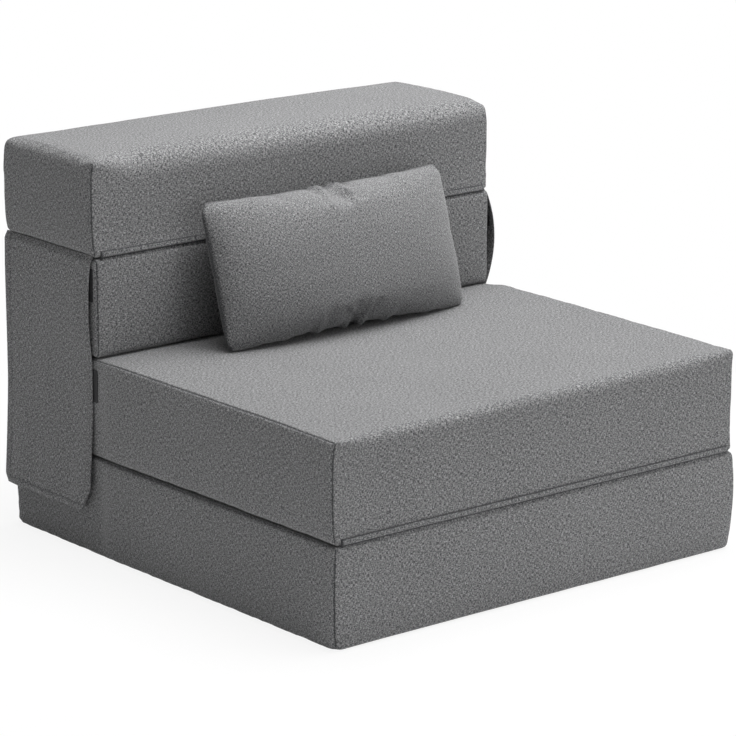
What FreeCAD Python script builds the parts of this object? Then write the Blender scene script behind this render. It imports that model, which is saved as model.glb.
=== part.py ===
import FreeCAD, Part
import math
import os
import Sketcher

# Convertible chair bed: four foam blocks stacked as a chair and joined by cloth fold hinges,
# at the front, the rear and the front again, so that the stack opens forwards into a flat bed.
# Each block is a zipped, padded cover over a cut foam core. Two side flaps hang from the top
# block and close on hook and loop patches. A loose lumbar cushion leans on the backrest.
# X runs along the width, -Y is the front and Z is up, with the floor at 0.

SIZES = {
    "width": 761,
    "seat_depth": 793,
    "back_depth": 231,
    "block_height": 151.4,
    "stack_gap": 0.6,
    "fold_clear": 0.3,
    "grip_proud": 0.4,
    "front_crown": 5,
    "rear_crown": 5,
    "top_crown": 7,
    "seat_droop": 6,
    "seat_slope_length": 210,
    "span_drop": 3,
    "end_round": 15,
    "side_crown": 3,
    "side_flat_inset": 50,
    "hinge_edge_round": 8,
    "base_edge_round": 16,
    "seat_front_round": 24,
    "back_edge_round": 14,
    "top_front_round": 46,
    "top_rear_round": 34,
    "wadding": 7,
    "end_wadding": 14,
    "core_clear": 0.5,
    "zip_length": 600,
    "placket_height": 17,
    "placket_depth": 5.2,
    "slot_height": 10,
    "zip_tape": 1,
    "coil_width": 5,
    "coil_height": 2.2,
    "zip_clear": 0.3,
    "slider_length": 14,
    "slider_wall": 1.2,
    "stop_length": 3,
    "hinge_margin": 14,
    "hinge_cloth": 1.6,
    "hinge_band": 12,
    "hinge_tuck": 6,
    "flap_cloth": 2.6,
    "flap_bead": 2.2,
    "flap_shoulder": 18,
    "flap_seam_gap": 0.1,
    "flap_front_inset": 20,
    "flap_rear_inset": 6,
    "flap_length": 392,
    "flap_skirt": 165,
    "flap_flare": 9,
    "flap_wave": 3,
    "patch_height": 50,
    "patch_length": 150,
    "patch_front_inset": 17,
    "patch_top_inset": 16,
    "hook_thickness": 1.5,
    "loop_thickness": 1.2,
    "patch_clear": 0.3,
    "grip_thickness": 1.8,
    "grip_margin": 30,
    "pillow_width": 456,
    "pillow_height": 232,
    "pillow_half": 59,
    "pillow_pull_in": 9,
    "pillow_corner": 13,
    "pillow_wall": 2,
    "pillow_rest": 0.7,
    "pillow_touch": 0.3,
    "pillow_offset": 15,
    "pillow_lean": 17,
    "pillow_zip_length": 340,
    "pillow_seam_inset": 14,
}

doc = FreeCAD.newDocument("chair_bed")
sheet = doc.addObject("Spreadsheet::Sheet", "Sizes")
for row, (alias, value) in enumerate(SIZES.items(), start=1):
    sheet.set(f"A{row}", alias)
    sheet.set(f"B{row}", str(value))
    sheet.setAlias(f"B{row}", alias)
doc.recompute()


def named(expression):
    """Writes the sheet's name before each size, so that expressions stay short."""
    words = []
    word = ""
    for letter in expression + " ":
        if letter.isalnum() or letter == "_":
            word += letter
            continue
        words.append(f"Sizes.{word}" if word in SIZES else word)
        words.append(letter)
        word = ""
    return "".join(words).strip()


def number(expression):
    return float(sheet.evalExpression(named(expression)))


def bind(item, path, expression):
    item.setExpression(path, named(expression))


# Sketch helpers

def new_body(label, place=("0", "0", "0")):
    body = doc.addObject("PartDesign::Body", label)
    body.Label = label
    for axis, expression in zip("xyz", place):
        bind(body, f"Placement.Base.{axis}", expression)
    return body


def new_sketch(body, name, role, offset="0"):
    """A sketch on one of the body's own origin planes, moved along its normal."""
    sketch = body.newObject("Sketcher::SketchObject", name)
    plane = next(p for p in body.Origin.OriginFeatures if p.Role == role)
    sketch.AttachmentSupport = [(plane, "")]
    sketch.MapMode = "FlatFace"
    bind(sketch, "AttachmentOffset.Base.z", offset)
    return sketch


def constrain(sketch, kind, *parts, size=None):
    if size is None:
        sketch.addConstraint(Sketcher.Constraint(kind, *parts))
        return
    index = sketch.addConstraint(Sketcher.Constraint(kind, *parts, number(size)))
    sketch.renameConstraint(index, f"{kind}{index}")
    bind(sketch, f"Constraints.{kind}{index}", size)


def fix_point(sketch, geometry, position, across, up):
    constrain(sketch, "DistanceX", -1, 1, geometry, position, size=across)
    constrain(sketch, "DistanceY", -1, 1, geometry, position, size=up)


def polygon(sketch, corners):
    """A straight-sided outline whose corners are pairs of expressions."""
    points = [FreeCAD.Vector(number(a), number(b), 0) for a, b in corners]
    count = len(points)
    for i in range(count):
        sketch.addGeometry(Part.LineSegment(points[i], points[(i + 1) % count]))
    for i in range(count):
        constrain(sketch, "Coincident", i, 2, (i + 1) % count, 1)
    for i, (across, up) in enumerate(corners):
        fix_point(sketch, i, 1, across, up)
    return sketch


def rectangle(sketch, left, right, low, high):
    return polygon(sketch, [(left, low), (right, low), (right, high), (left, high)])


# A soft outline is a ring of sides joined by round corners. A side is a straight line, or an
# arc that swells outwards (turn 1) or is drawn in (turn -1).

def straight(normal, distance):
    return {"normal": normal, "distance": distance, "turn": 0}


def bowed(normal, centre, radius, turn=1):
    return {"normal": normal, "centre": centre, "radius": radius, "turn": turn}


def side_values(side):
    """The side's numbers: its outward normal, centre or distance, and radius."""
    normal = FreeCAD.Vector(*side["normal"], 0)
    if side["turn"] == 0:
        return normal, number(side["distance"]), 0
    centre = FreeCAD.Vector(number(side["centre"][0]), number(side["centre"][1]), 0)
    return normal, centre, number(side["radius"])


def corner_centre(first, second, radius):
    """The centre of a corner arc that touches both sides from inside."""
    rows = []
    for side in (first, second):
        normal, place, bend = side_values(side)
        reach = place if side["turn"] == 0 else place.dot(normal) + side["turn"] * bend
        rows.append((normal, reach - radius))
    (n1, d1), (n2, d2) = rows
    spread = n1.x * n2.y - n1.y * n2.x
    point = FreeCAD.Vector((d1 * n2.y - d2 * n1.y) / spread, (n1.x * d2 - n2.x * d1) / spread, 0)
    for _ in range(12):
        rows = []
        for side in (first, second):
            normal, place, bend = side_values(side)
            if side["turn"] == 0:
                rows.append((normal, place - radius - point.dot(normal)))
                continue
            away = point - place
            distance = away.Length
            rows.append((away / distance, bend - side["turn"] * radius - distance))
        (n1, d1), (n2, d2) = rows
        spread = n1.x * n2.y - n1.y * n2.x
        step_x = (d1 * n2.y - d2 * n1.y) / spread
        step_y = (n1.x * d2 - n2.x * d1) / spread
        point += FreeCAD.Vector(step_x, step_y, 0)
    return point


def touch_point(side, centre, radius):
    normal, place, bend = side_values(side)
    if side["turn"] == 0:
        return centre + normal * radius
    away = centre - place
    return place + away / away.Length * bend


def arc_between(centre, radius, start, end):
    low = math.atan2(start.y - centre.y, start.x - centre.x)
    high = math.atan2(end.y - centre.y, end.x - centre.x)
    if high < low:
        high += 2 * math.pi
    circle = Part.Circle(centre, FreeCAD.Vector(0, 0, 1), radius)
    return Part.ArcOfCircle(circle, low, high)


def soft_outline(sketch, sides, rounds):
    """Sides in counter-clockwise order; rounds[i] joins side i to the next, None is tangent."""
    count = len(sides)
    corners = []
    for i, round_size in enumerate(rounds):
        after = sides[(i + 1) % count]
        if round_size is None:
            bend = sides[i] if sides[i]["turn"] else after
            normal, centre, radius = side_values(bend)
            flat_normal = side_values(sides[i] if bend is after else after)[0]
            point = centre + flat_normal * radius
            corners.append((point, point, None, 0))
            continue
        radius = number(round_size)
        centre = corner_centre(sides[i], after, radius)
        leave = touch_point(sides[i], centre, radius)
        arrive = touch_point(after, centre, radius)
        corners.append((leave, arrive, centre, radius))
    ring = []
    for i, side in enumerate(sides):
        start = corners[i - 1][1]
        end = corners[i][0]
        if side["turn"] == 0:
            index = sketch.addGeometry(Part.LineSegment(start, end))
            level = side["normal"][0] == 0
            constrain(sketch, "Horizontal" if level else "Vertical", index)
            kind = "DistanceY" if level else "DistanceX"
            sign = "" if sum(side["normal"]) > 0 else "-1*"
            constrain(sketch, kind, -1, 1, index, 1, size=f"{sign}({side['distance']})")
            ring.append((index, 1, 2))
        else:
            normal, centre, radius = side_values(side)
            ends = (start, end) if side["turn"] > 0 else (end, start)
            index = sketch.addGeometry(arc_between(centre, radius, *ends))
            fix_point(sketch, index, 3, *side["centre"])
            if rounds[i] is not None and rounds[i - 1] is not None:
                constrain(sketch, "Radius", index, size=side["radius"])
            ring.append((index, 1, 2) if side["turn"] > 0 else (index, 2, 1))
        leave, arrive, centre, radius = corners[i]
        if centre is not None:
            index = sketch.addGeometry(arc_between(centre, radius, leave, arrive))
            constrain(sketch, "Radius", index, size=rounds[i])
            ring.append((index, 1, 2))
    for i, (index, first, last) in enumerate(ring):
        following, begin, _ = ring[(i + 1) % len(ring)]
        constrain(sketch, "Tangent", index, last, following, begin)
    return sketch


def crown_radius(span, rise):
    """The radius of an arc that rises by rise over a chord of span."""
    return f"(({span})^2/4+({rise})^2)/(2*({rise}))"


# Block outlines, seen from the side: Y to the rear, Z up, from the block's lower front edge.

BLOCKS = {
    "base": {
        "layer": 0,
        "depth": "seat_depth",
        "top": "flat",
        "rounds": ("base_edge_round", "back_edge_round", "hinge_edge_round", "base_edge_round"),
    },
    "seat": {
        "layer": 1,
        "depth": "seat_depth",
        "top": "sloped",
        "rounds": ("back_edge_round", "hinge_edge_round", "seat_front_round", "hinge_edge_round"),
    },
    "back_middle": {
        "layer": 2,
        "depth": "back_depth",
        "top": "flat",
        "rounds": ("hinge_edge_round", "back_edge_round", "hinge_edge_round", "back_edge_round"),
    },
    "back_top": {
        "layer": 3,
        "depth": "back_depth",
        "top": "crowned",
        "rounds": ("back_edge_round", "top_rear_round", "top_front_round", "hinge_edge_round"),
    },
}


def layer_height(layer):
    return f"grip_proud+{layer}*(block_height+stack_gap)"


def block_place(block):
    """The block's lower front edge; the rear faces of all four are in line."""
    depth = block["depth"]
    return ("0", f"seat_depth/2-{depth}", layer_height(block["layer"]))


def block_outline(sketch, block, inset="0", drop="0", core=False):
    """inset draws every side in; drop draws in the free faces only."""
    inset = f"({inset})"
    depth = block["depth"]
    front = f"fold_clear+{inset}+{drop}"
    rear = f"{depth}-fold_clear-{inset}-{drop}"
    front_bend = crown_radius("block_height", "front_crown")
    rear_bend = crown_radius("block_height", "rear_crown")
    bottom_side = straight((0, -1), f"-1*{inset}")
    rear_side = bowed((1, 0), (f"{rear}-{rear_bend}", "block_height/2"), rear_bend)
    front_side = bowed((-1, 0), (f"{front}+{front_bend}", "block_height/2"), front_bend)
    share = "1" if core else "0.5"
    least = "1" if core else "5"
    limits = [f"max({name}-{share}*{inset};{least})" for name in block["rounds"]]
    rear_low, rear_high, front_high, front_low = limits
    if block["top"] == "flat":
        tops = [straight((0, 1), f"block_height-{inset}")]
        rounds = [rear_low, rear_high, front_high, front_low]
    elif block["top"] == "crowned":
        bend = crown_radius(depth, "top_crown")
        level = f"block_height-{inset}-{drop}"
        tops = [bowed((0, 1), (f"{depth}/2", f"{level}-{bend}"), bend)]
        rounds = [rear_low, rear_high, front_high, front_low]
    else:
        bend = "(seat_slope_length^2+seat_droop^2)/(2*seat_droop)"
        level = f"block_height-{inset}-{drop}"
        start = "seat_slope_length"
        tops = [
            straight((0, 1), level),
            bowed((0, 1), (start, f"{level}-{bend}"), bend),
        ]
        rounds = [rear_low, rear_high, None, front_high, front_low]
    return soft_outline(sketch, [bottom_side, rear_side, *tops, front_side], rounds)


def loft(body, name, sections, cut=False):
    """Ruled from section to section, so that a crown is a row of shallow bands."""
    kind = "SubtractiveLoft" if cut else "AdditiveLoft"
    feature = body.newObject(f"PartDesign::{kind}", name)
    feature.Profile = sections[0]
    feature.Sections = sections[1:]
    feature.Ruled = True
    return feature


def mirrored(body, name, features, role):
    """Repeats the features on the other side of one of the body's origin planes."""
    plane = next(p for p in body.Origin.OriginFeatures if p.Role == role)
    feature = body.newObject("PartDesign::Mirrored", name)
    feature.Originals = features
    feature.MirrorPlane = (plane, [""])
    body.Tip = feature
    return feature


def across(body, name, sketch, length, cut=False):
    """A pad or pocket of a side view, equal to both sides of the middle."""
    feature = body.newObject(f"PartDesign::{'Pocket' if cut else 'Pad'}", name)
    feature.Profile = sketch
    feature.SideType = "Symmetric"
    bind(feature, "Length", length)
    return feature


def rear_pocket(body, name, depth, half_length, half_height, cut):
    """A slot cut forwards from the rear face, at half the block's height."""
    sketch = new_sketch(body, f"{name}_outline", "XZ_Plane", f"-1*({depth})")
    middle = "block_height/2"
    low = f"{middle}-{half_height}"
    high = f"{middle}+{half_height}"
    rectangle(sketch, f"-1*({half_length})", half_length, low, high)
    feature = body.newObject("PartDesign::Pocket", name)
    feature.Profile = sketch
    feature.Reversed = True
    bind(feature, "Length", cut)
    return feature


SPAN_SHARES = (0, 0.6, 1)
END_TURNS = (45, 90)
FACE_SHARES = (0.4, 1)


def cover_stations():
    """Where each section of a half cover stands, how far it is drawn in and how far it drops."""
    start = "(width/2-side_crown-end_round)"
    stations = [(f"{share}*{start}", "0", f"{share ** 2}*span_drop") for share in SPAN_SHARES]
    for turn in END_TURNS:
        along = math.sin(math.radians(turn))
        inwards = 1 - math.cos(math.radians(turn))
        stations.append((f"{start}+{along}*end_round", f"{inwards}*end_round", "span_drop"))
    for share in FACE_SHARES:
        swell = 1 - (1 - share) ** 2
        inset = f"end_round+{share}*(side_flat_inset-end_round)"
        stations.append((f"width/2-{1 - swell}*side_crown", inset, "span_drop"))
    return stations


def make_cover(name, block):
    """A padded cover: crowned faces, rounded ends, a hollow for the core and a zip placket."""
    body = new_body(f"{name}_cover", block_place(block))
    sections = []
    for place, inset, drop in cover_stations():
        sketch = new_sketch(body, f"{name}_section{len(sections)}", "YZ_Plane", place)
        sections.append(block_outline(sketch, block, inset=inset, drop=drop))
    half = loft(body, f"{name}_half", sections)
    mirrored(body, f"{name}_halves", [half], "YZ_Plane")
    hollow = new_sketch(body, f"{name}_hollow_outline", "YZ_Plane")
    block_outline(hollow, block, inset="wadding-core_clear", core=True)
    across(body, f"{name}_hollow", hollow, "width-2*(end_wadding-core_clear)", cut=True)
    depth = block["depth"]
    placket_half = "zip_length/2+slider_length"
    placket_cut = "fold_clear+placket_depth"
    rear_pocket(body, f"{name}_placket", depth, placket_half, "placket_height/2", placket_cut)
    rear_pocket(body, f"{name}_slot", depth, "zip_length/2", "slot_height/2", "fold_clear+wadding+2")
    if block["layer"] == 0:
        recess = new_sketch(body, f"{name}_grip_recess_outline", "XY_Plane")
        side = "(width/2-grip_margin)"
        rectangle(recess, f"-{side}", side, "grip_margin", f"{depth}-grip_margin")
        pocket = body.newObject("PartDesign::Pocket", f"{name}_grip_recess")
        pocket.Profile = recess
        pocket.Reversed = True
        bind(pocket, "Length", "grip_thickness-grip_proud")
    return body


def make_core(name, block):
    body = new_body(f"{name}_core", block_place(block))
    sketch = new_sketch(body, f"{name}_core_outline", "YZ_Plane")
    block_outline(sketch, block, inset="wadding", core=True)
    across(body, f"{name}_core_pad", sketch, "width-2*end_wadding")
    return body


# Closing zip of a cover: a cloth tape in the slot, a coil with its end stops, and a slider.
# The slider has no pull, as on foam mattress covers, and runs inside the placket.

def zip_floor(depth):
    """How far back the placket's floor lies, where the tape is sewn."""
    return f"{depth}-fold_clear-placket_depth"


def rearwards(middle):
    """Places zip corners, given as how far out and how far aside, on a block's rear face."""
    return lambda out, aside: (out, f"{middle}+{aside}")


def downwards(out, aside):
    """Places zip corners under the cushion's lower edge."""
    return aside, f"-1*({out})"


def zip_part(label, stance, turn, corners, length, offset="0"):
    place, lean = stance
    body = new_body(label, place)
    if lean:
        lean_back(body)
    sketch = new_sketch(body, f"{label}_outline", "YZ_Plane", offset)
    polygon(sketch, [turn(out, aside) for out, aside in corners])
    across(body, f"{label}_pad", sketch, length)
    return body


def make_zip(name, stance, turn, floor, length):
    """The tape's outer face lies on the floor line; the coil and slider stand out of it."""
    half_tape = "(slot_height/2-zip_clear)"
    inside = f"{floor}-zip_tape"
    tape_corners = [
        (inside, f"-{half_tape}"),
        (floor, f"-{half_tape}"),
        (floor, half_tape),
        (inside, half_tape),
    ]
    zip_part(f"{name}_zipper_tape", stance, turn, tape_corners, f"{length}-2*zip_clear")
    half_coil = "coil_width/2"
    shoulder = f"{floor}+coil_height*0.45"
    crest = f"{floor}+coil_height"
    coil_corners = [
        (floor, f"-{half_coil}"),
        (shoulder, f"-{half_coil}"),
        (crest, f"-{half_coil}*0.55"),
        (crest, f"{half_coil}*0.55"),
        (shoulder, half_coil),
        (floor, half_coil),
    ]
    coil_length = f"{length}-2*zip_clear-2*stop_length"
    coil = zip_part(f"{name}_zipper_coil", stance, turn, coil_corners, coil_length)
    stop_reach = f"({half_coil}+0.6)"
    stop_top = f"{floor}+coil_height+0.5"
    stop_corners = [
        (floor, f"-{stop_reach}"),
        (stop_top, f"-{stop_reach}"),
        (stop_top, stop_reach),
        (floor, stop_reach),
    ]
    for side, sign in (("near", "-1*"), ("far", "")):
        offset = f"{sign}({length}/2-zip_clear-stop_length)"
        sketch = new_sketch(coil, f"{name}_{side}_stop_outline", "YZ_Plane", offset)
        polygon(sketch, [turn(out, aside) for out, aside in stop_corners])
        across(coil, f"{name}_{side}_stop", sketch, "stop_length")
    inner = f"({half_coil}+zip_clear)"
    outer = f"({half_coil}+zip_clear+slider_wall)"
    foot = f"{floor}+zip_clear"
    roof = f"{floor}+coil_height+zip_clear"
    slider_corners = [
        (foot, f"-{outer}"),
        (f"{roof}+slider_wall", f"-{outer}+slider_wall*0.6"),
        (f"{roof}+slider_wall", f"{outer}-slider_wall*0.6"),
        (foot, outer),
        (foot, inner),
        (roof, inner),
        (roof, f"-{inner}"),
        (foot, f"-{inner}"),
    ]
    offset = f"-1*({length}/2-zip_clear-2*stop_length-slider_length/2)"
    zip_part(f"{name}_zipper_slider", stance, turn, slider_corners, "slider_length", offset)


# Fold hinges: a cloth leaf on each of two blocks, meeting at the fold line between them.

def face_setback(height, crown, edge_round):
    """How far a crowned face lies behind its plane at a height near the block's edge."""
    swell = f"{crown}*((block_height/2-{height})/(block_height/2))^2"
    return f"(fold_clear+{swell}+max(0;{edge_round}-{height})^2/(2*{edge_round}))"


def make_leaf(label, block, face, edge, height):
    """face is front or rear and edge is top or bottom: where the leaf is sewn on the block."""
    body = new_body(label, block_place(block))
    sketch = new_sketch(body, f"{label}_outline", "YZ_Plane")
    setback = face_setback(height, f"{face}_crown", "hinge_edge_round")
    inner = f"({setback}-fold_clear)"
    depth = block["depth"]
    along = (lambda y: y) if face == "front" else (lambda y: f"{depth}-({y})")
    up = (lambda z: z) if edge == "bottom" else (lambda z: f"block_height-({z})")
    corners = [
        ("fold_clear", "0"),
        ("fold_clear+hinge_cloth", "0"),
        (inner, height),
        (f"{inner}-hinge_cloth", height),
    ]
    polygon(sketch, [(along(y), up(z)) for y, z in corners])
    across(body, f"{label}_pad", sketch, "width-2*hinge_margin")
    return body


# Side flaps: a bead in the seam under the top block, a shoulder, a straight panel that the
# patches hold, and a loose skirt that flares and ripples. Built for the right, turned for the left.

FLAP_FOLDS = 6
SKIRT_SHARES = (0, 0.25, 0.5, 0.75, 1)


def flap_level():
    """The bead's centre: outside the top block's rounded lower edge."""
    reach = "(end_round+fold_clear+flap_bead)*sqrt(0.5)"
    out = f"(width/2-side_crown-end_round+{reach})"
    up = f"({layer_height(3)}+end_round-{reach})"
    return out, up


def flap_section(height, stand, wave):
    """A level outline of the flap: two rippled faces joined by straight ends, as one wire."""
    front = number("seat_depth/2-back_depth+flap_front_inset")
    rear = number("seat_depth/2-flap_rear_inset")
    fold = (rear - front) / FLAP_FOLDS
    cloth = number("flap_cloth")
    edges = []
    for face, order in ((0, range(FLAP_FOLDS)), (cloth, reversed(range(FLAP_FOLDS)))):
        for i in order:
            ends = [FreeCAD.Vector(stand + face, front + fold * k, height) for k in (i, i + 1)]
            swing = wave if i % 2 else -wave
            middle = FreeCAD.Vector(stand + face + swing, front + fold * (i + 0.5), height)
            if face:
                ends.reverse()
            edges.append(Part.Arc(ends[0], middle, ends[1]).toShape())
        corner = edges[-1].valueAt(edges[-1].LastParameter)
        across_to = FreeCAD.Vector(stand + (0 if face else cloth), corner.y, height)
        edges.append(Part.makeLine(corner, across_to))
    return Part.Wire(edges)


def place_flap_piece(label, shape, turned):
    """The shape is drawn for the right side about the bead; the left one is its mirror image."""
    hinge_x, hinge_z = [number(place) for place in flap_level()]
    if turned:
        shape = shape.mirror(FreeCAD.Vector(0, 0, 0), FreeCAD.Vector(1, 0, 0))
        hinge_x = -hinge_x
    feature = doc.addObject("Part::Feature", label)
    feature.Label = label
    feature.Shape = shape
    feature.Placement = FreeCAD.Placement(FreeCAD.Vector(hinge_x, 0, hinge_z), FreeCAD.Rotation())
    return feature


def flap_strip(profile, front, rear):
    """A strip of cloth with one profile from the flap's front edge to its rear edge."""
    points = [FreeCAD.Vector(x, front, z) for x, z in profile]
    outline = Part.Face(Part.makePolygon(points + points[:1]))
    return outline.extrude(FreeCAD.Vector(0, rear - front, 0))


def make_flap(side, turned):
    front = number("seat_depth/2-back_depth+flap_front_inset")
    rear = number("seat_depth/2-flap_rear_inset")
    bead = number("flap_bead")
    cloth = number("flap_cloth")
    hinge_x = number(flap_level()[0])
    stand = number("width/2+loop_thickness+hook_thickness+2*patch_clear") - hinge_x
    length = number("flap_length")
    shoulder = number("flap_shoulder")
    panel_top = shoulder + number("flap_seam_gap")
    skirt_top = number("flap_length-flap_skirt")
    roll = Part.makeCylinder(bead, rear - front, FreeCAD.Vector(0, front, 0), FreeCAD.Vector(0, 1, 0))
    seam_profile = [
        (-bead * 0.5, 0),
        (bead * 0.9, 0),
        (stand + cloth, -shoulder),
        (stand, -shoulder),
        (stand * 0.25, -shoulder * 0.4),
    ]
    seam_strip = roll.fuse(flap_strip(seam_profile, front, rear)).removeSplitter()
    place_flap_piece(f"{side}_flap_seam_strip", seam_strip, turned)
    panel_profile = [
        (stand, -panel_top),
        (stand + cloth, -panel_top),
        (stand + cloth, -skirt_top),
        (stand, -skirt_top),
    ]
    flare = number("flap_flare")
    wave = number("flap_wave")
    fall = length - skirt_top
    wires = []
    for down in SKIRT_SHARES:
        out = stand + flare * down ** 1.5
        wires.append(flap_section(-skirt_top - fall * down, out, wave * (0.05 + 0.95 * down)))
    skirt = Part.makeLoft(wires, True, True)
    panel = flap_strip(panel_profile, front, rear).fuse(skirt).removeSplitter()
    place_flap_piece(f"{side}_flap", panel, turned)


def make_patch(label, layer, turned, hook):
    """A strip of hook tape on the flap, or of loop tape on the block's side facing it."""
    box = doc.addObject("Part::Box", label)
    box.Label = label
    thickness = "hook_thickness" if hook else "loop_thickness"
    stand = "width/2+patch_clear" + ("+loop_thickness+patch_clear" if hook else "")
    front = "seat_depth/2-back_depth+"
    front += "flap_front_inset" if hook else "patch_front_inset"
    low = f"{layer_height(layer)}+block_height-patch_top_inset-patch_height"
    left = f"-1*({stand}+{thickness})" if turned else stand
    bind(box, "Length", thickness)
    bind(box, "Width", "patch_length")
    bind(box, "Height", "patch_height")
    for axis, expression in zip("xyz", (left, front, low)):
        bind(box, f"Placement.Base.{axis}", expression)
    return box


def make_grip_panel():
    """The slip-resistant cloth panel sewn into the underside of the base cover."""
    panel = doc.addObject("Part::Box", "base_grip_panel")
    panel.Label = "base_grip_panel"
    bind(panel, "Length", "width-2*grip_margin-2*patch_clear")
    bind(panel, "Width", "seat_depth-2*grip_margin-2*patch_clear")
    bind(panel, "Height", "grip_thickness")
    bind(panel, "Placement.Base.x", "-1*(width/2-grip_margin-patch_clear)")
    bind(panel, "Placement.Base.y", "-1*(seat_depth/2-grip_margin-patch_clear)")
    bind(panel, "Placement.Base.z", "0")
    return panel


# Lumbar cushion, in its own frame: X along it, Z up its height and Y through it.
# Each step is a share of the half thickness and the inset there as a share of the half height.

PILLOW_STEPS = ((0, 0), (0.35, 0.06), (0.7, 0.24), (1, 0.82))
INNER_STEPS = PILLOW_STEPS[:1] + PILLOW_STEPS[2:]


def pillow_place():
    """It stands on the seat and touches the backrest with its upper rear swell."""
    lean = "pillow_lean*1deg"
    touch = PILLOW_STEPS[2]
    reach = f"(pillow_height/2*(1-{touch[1]})*sin({lean})+{touch[0]}*pillow_half*cos({lean}))"
    rear = "seat_depth/2-back_depth+fold_clear"
    seat_top = f"{layer_height(1)}+block_height-span_drop*((pillow_width/2-pillow_offset)/(width/2))^2"
    rounded_off = "pillow_pull_in*(1-(1-1.17*pillow_corner/(pillow_width/2))^2)"
    return (
        "pillow_offset",
        f"{rear}-{reach}-pillow_touch",
        f"{seat_top}+(pillow_height/2-{rounded_off})*cos({lean})+pillow_rest",
    )


def lean_back(body):
    angle = number("pillow_lean")
    body.Placement.Rotation = FreeCAD.Rotation(FreeCAD.Vector(-1, 0, 0), angle)
    bind(body, "Placement.Rotation.Angle", "pillow_lean*1deg")


def pillow_outline(sketch, inset, plain=False):
    """A cushion panel whose sides are drawn in between its corners, or straight when plain."""
    pull = f"(pillow_pull_in*(1-({inset})/(pillow_height/2)))"
    sides = []
    for normal, own, other in (
        ((0, -1), "pillow_height", "pillow_width"),
        ((1, 0), "pillow_width", "pillow_height"),
        ((0, 1), "pillow_height", "pillow_width"),
        ((-1, 0), "pillow_width", "pillow_height"),
    ):
        if plain:
            sides.append(straight(normal, f"({own}/2-({inset})-{pull})"))
            continue
        radius = crown_radius(f"{other}-2*({inset})", pull)
        away = f"({own}/2-({inset})-{pull}+{radius})"
        centre = tuple(f"{part}*{away}" if part else "0" for part in normal)
        sides.append(bowed(normal, centre, radius, turn=-1))
    corner = f"min(pillow_corner+0.25*({inset});0.6*(pillow_height/2-({inset})))"
    return soft_outline(sketch, sides, [corner] * 4)


def pillow_loft(body, name, half, seam_inset="0", steps=PILLOW_STEPS, cut=False, plain=False):
    """One face of the cushion and its mirror image, swelling from the seam to the crown."""
    sections = []
    for i, (through, inset) in enumerate(steps):
        sketch = new_sketch(body, f"{name}_ring{i}", "XZ_Plane", f"{through}*({half})")
        drawn_in = f"{inset}*pillow_height/2+{1 - through}*({seam_inset})"
        sections.append(pillow_outline(sketch, drawn_in, plain))
    feature = loft(body, f"{name}_face", sections, cut=cut)
    mirrored(body, f"{name}_faces", [feature], "XZ_Plane")


def make_pillow():
    place = pillow_place()
    cover = new_body("pillow_cover", place)
    lean_back(cover)
    pillow_loft(cover, "pillow", "pillow_half")
    void_half = "pillow_half-pillow_wall"
    pillow_loft(cover, "pillow_void", void_half, "2*pillow_wall", INNER_STEPS, cut=True)
    floor = "pillow_height/2-pillow_pull_in-coil_height-zip_clear-slider_wall"
    slot = new_sketch(cover, "pillow_slot_outline", "XY_Plane", "-1*(pillow_height/2)")
    half_slot = "slot_height/2"
    rectangle(slot, "-pillow_zip_length/2", "pillow_zip_length/2", f"-{half_slot}", half_slot)
    pocket = cover.newObject("PartDesign::Pocket", "pillow_slot")
    pocket.Profile = slot
    pocket.Reversed = True
    bind(pocket, "Length", f"pillow_height/2-({floor}-2*zip_tape)")
    filling = new_body("pillow_filling", place)
    lean_back(filling)
    filling_half = "pillow_half-pillow_wall-zip_clear"
    pillow_loft(filling, "pillow_filling", filling_half, "pillow_seam_inset", INNER_STEPS, plain=True)
    make_zip("pillow", (place, True), downwards, floor, "pillow_zip_length")


for name, block in BLOCKS.items():
    make_cover(name, block)
    make_core(name, block)
    stance = (block_place(block), False)
    make_zip(name, stance, rearwards("block_height/2"), zip_floor(block["depth"]), "zip_length")

make_leaf("front_hinge_lower", BLOCKS["base"], "front", "top", "hinge_band")
make_leaf("front_hinge_upper", BLOCKS["seat"], "front", "bottom", "hinge_tuck")
make_leaf("rear_hinge_lower", BLOCKS["seat"], "rear", "top", "hinge_tuck")
make_leaf("rear_hinge_upper", BLOCKS["back_middle"], "rear", "bottom", "hinge_band")
make_leaf("back_hinge_lower", BLOCKS["back_middle"], "front", "top", "hinge_band")
make_leaf("back_hinge_upper", BLOCKS["back_top"], "front", "bottom", "hinge_tuck")

for side, turned in (("left", True), ("right", False)):
    make_flap(side, turned)
    for level, layer in (("upper", 2), ("lower", 1)):
        make_patch(f"{side}_{level}_hook", layer, turned, hook=True)
        make_patch(f"{side}_{level}_loop", layer, turned, hook=False)

make_grip_panel()
make_pillow()
doc.recompute()

failed = [item.Name for item in doc.Objects if {"Invalid", "Error"} & set(item.State)]
if failed:
    raise RuntimeError(f"not rebuilt: {failed}")
nodes = [item for item in doc.Objects if item.TypeId in ("PartDesign::Body", "Part::Feature", "Part::Box")]
for node in nodes:
    if node.Shape.isNull() or not node.Shape.isValid() or node.Shape.Volume <= 0:
        raise RuntimeError(f"no sound solid: {node.Label}")

os.makedirs("parts", exist_ok=True)
for node in nodes:
    node.Shape.exportStep(os.path.join("parts", f"{node.Label}.step"))
print(len(nodes), "pieces written")
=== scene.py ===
import math

import bpy
import numpy as np
from mathutils import Matrix, Vector


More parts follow.
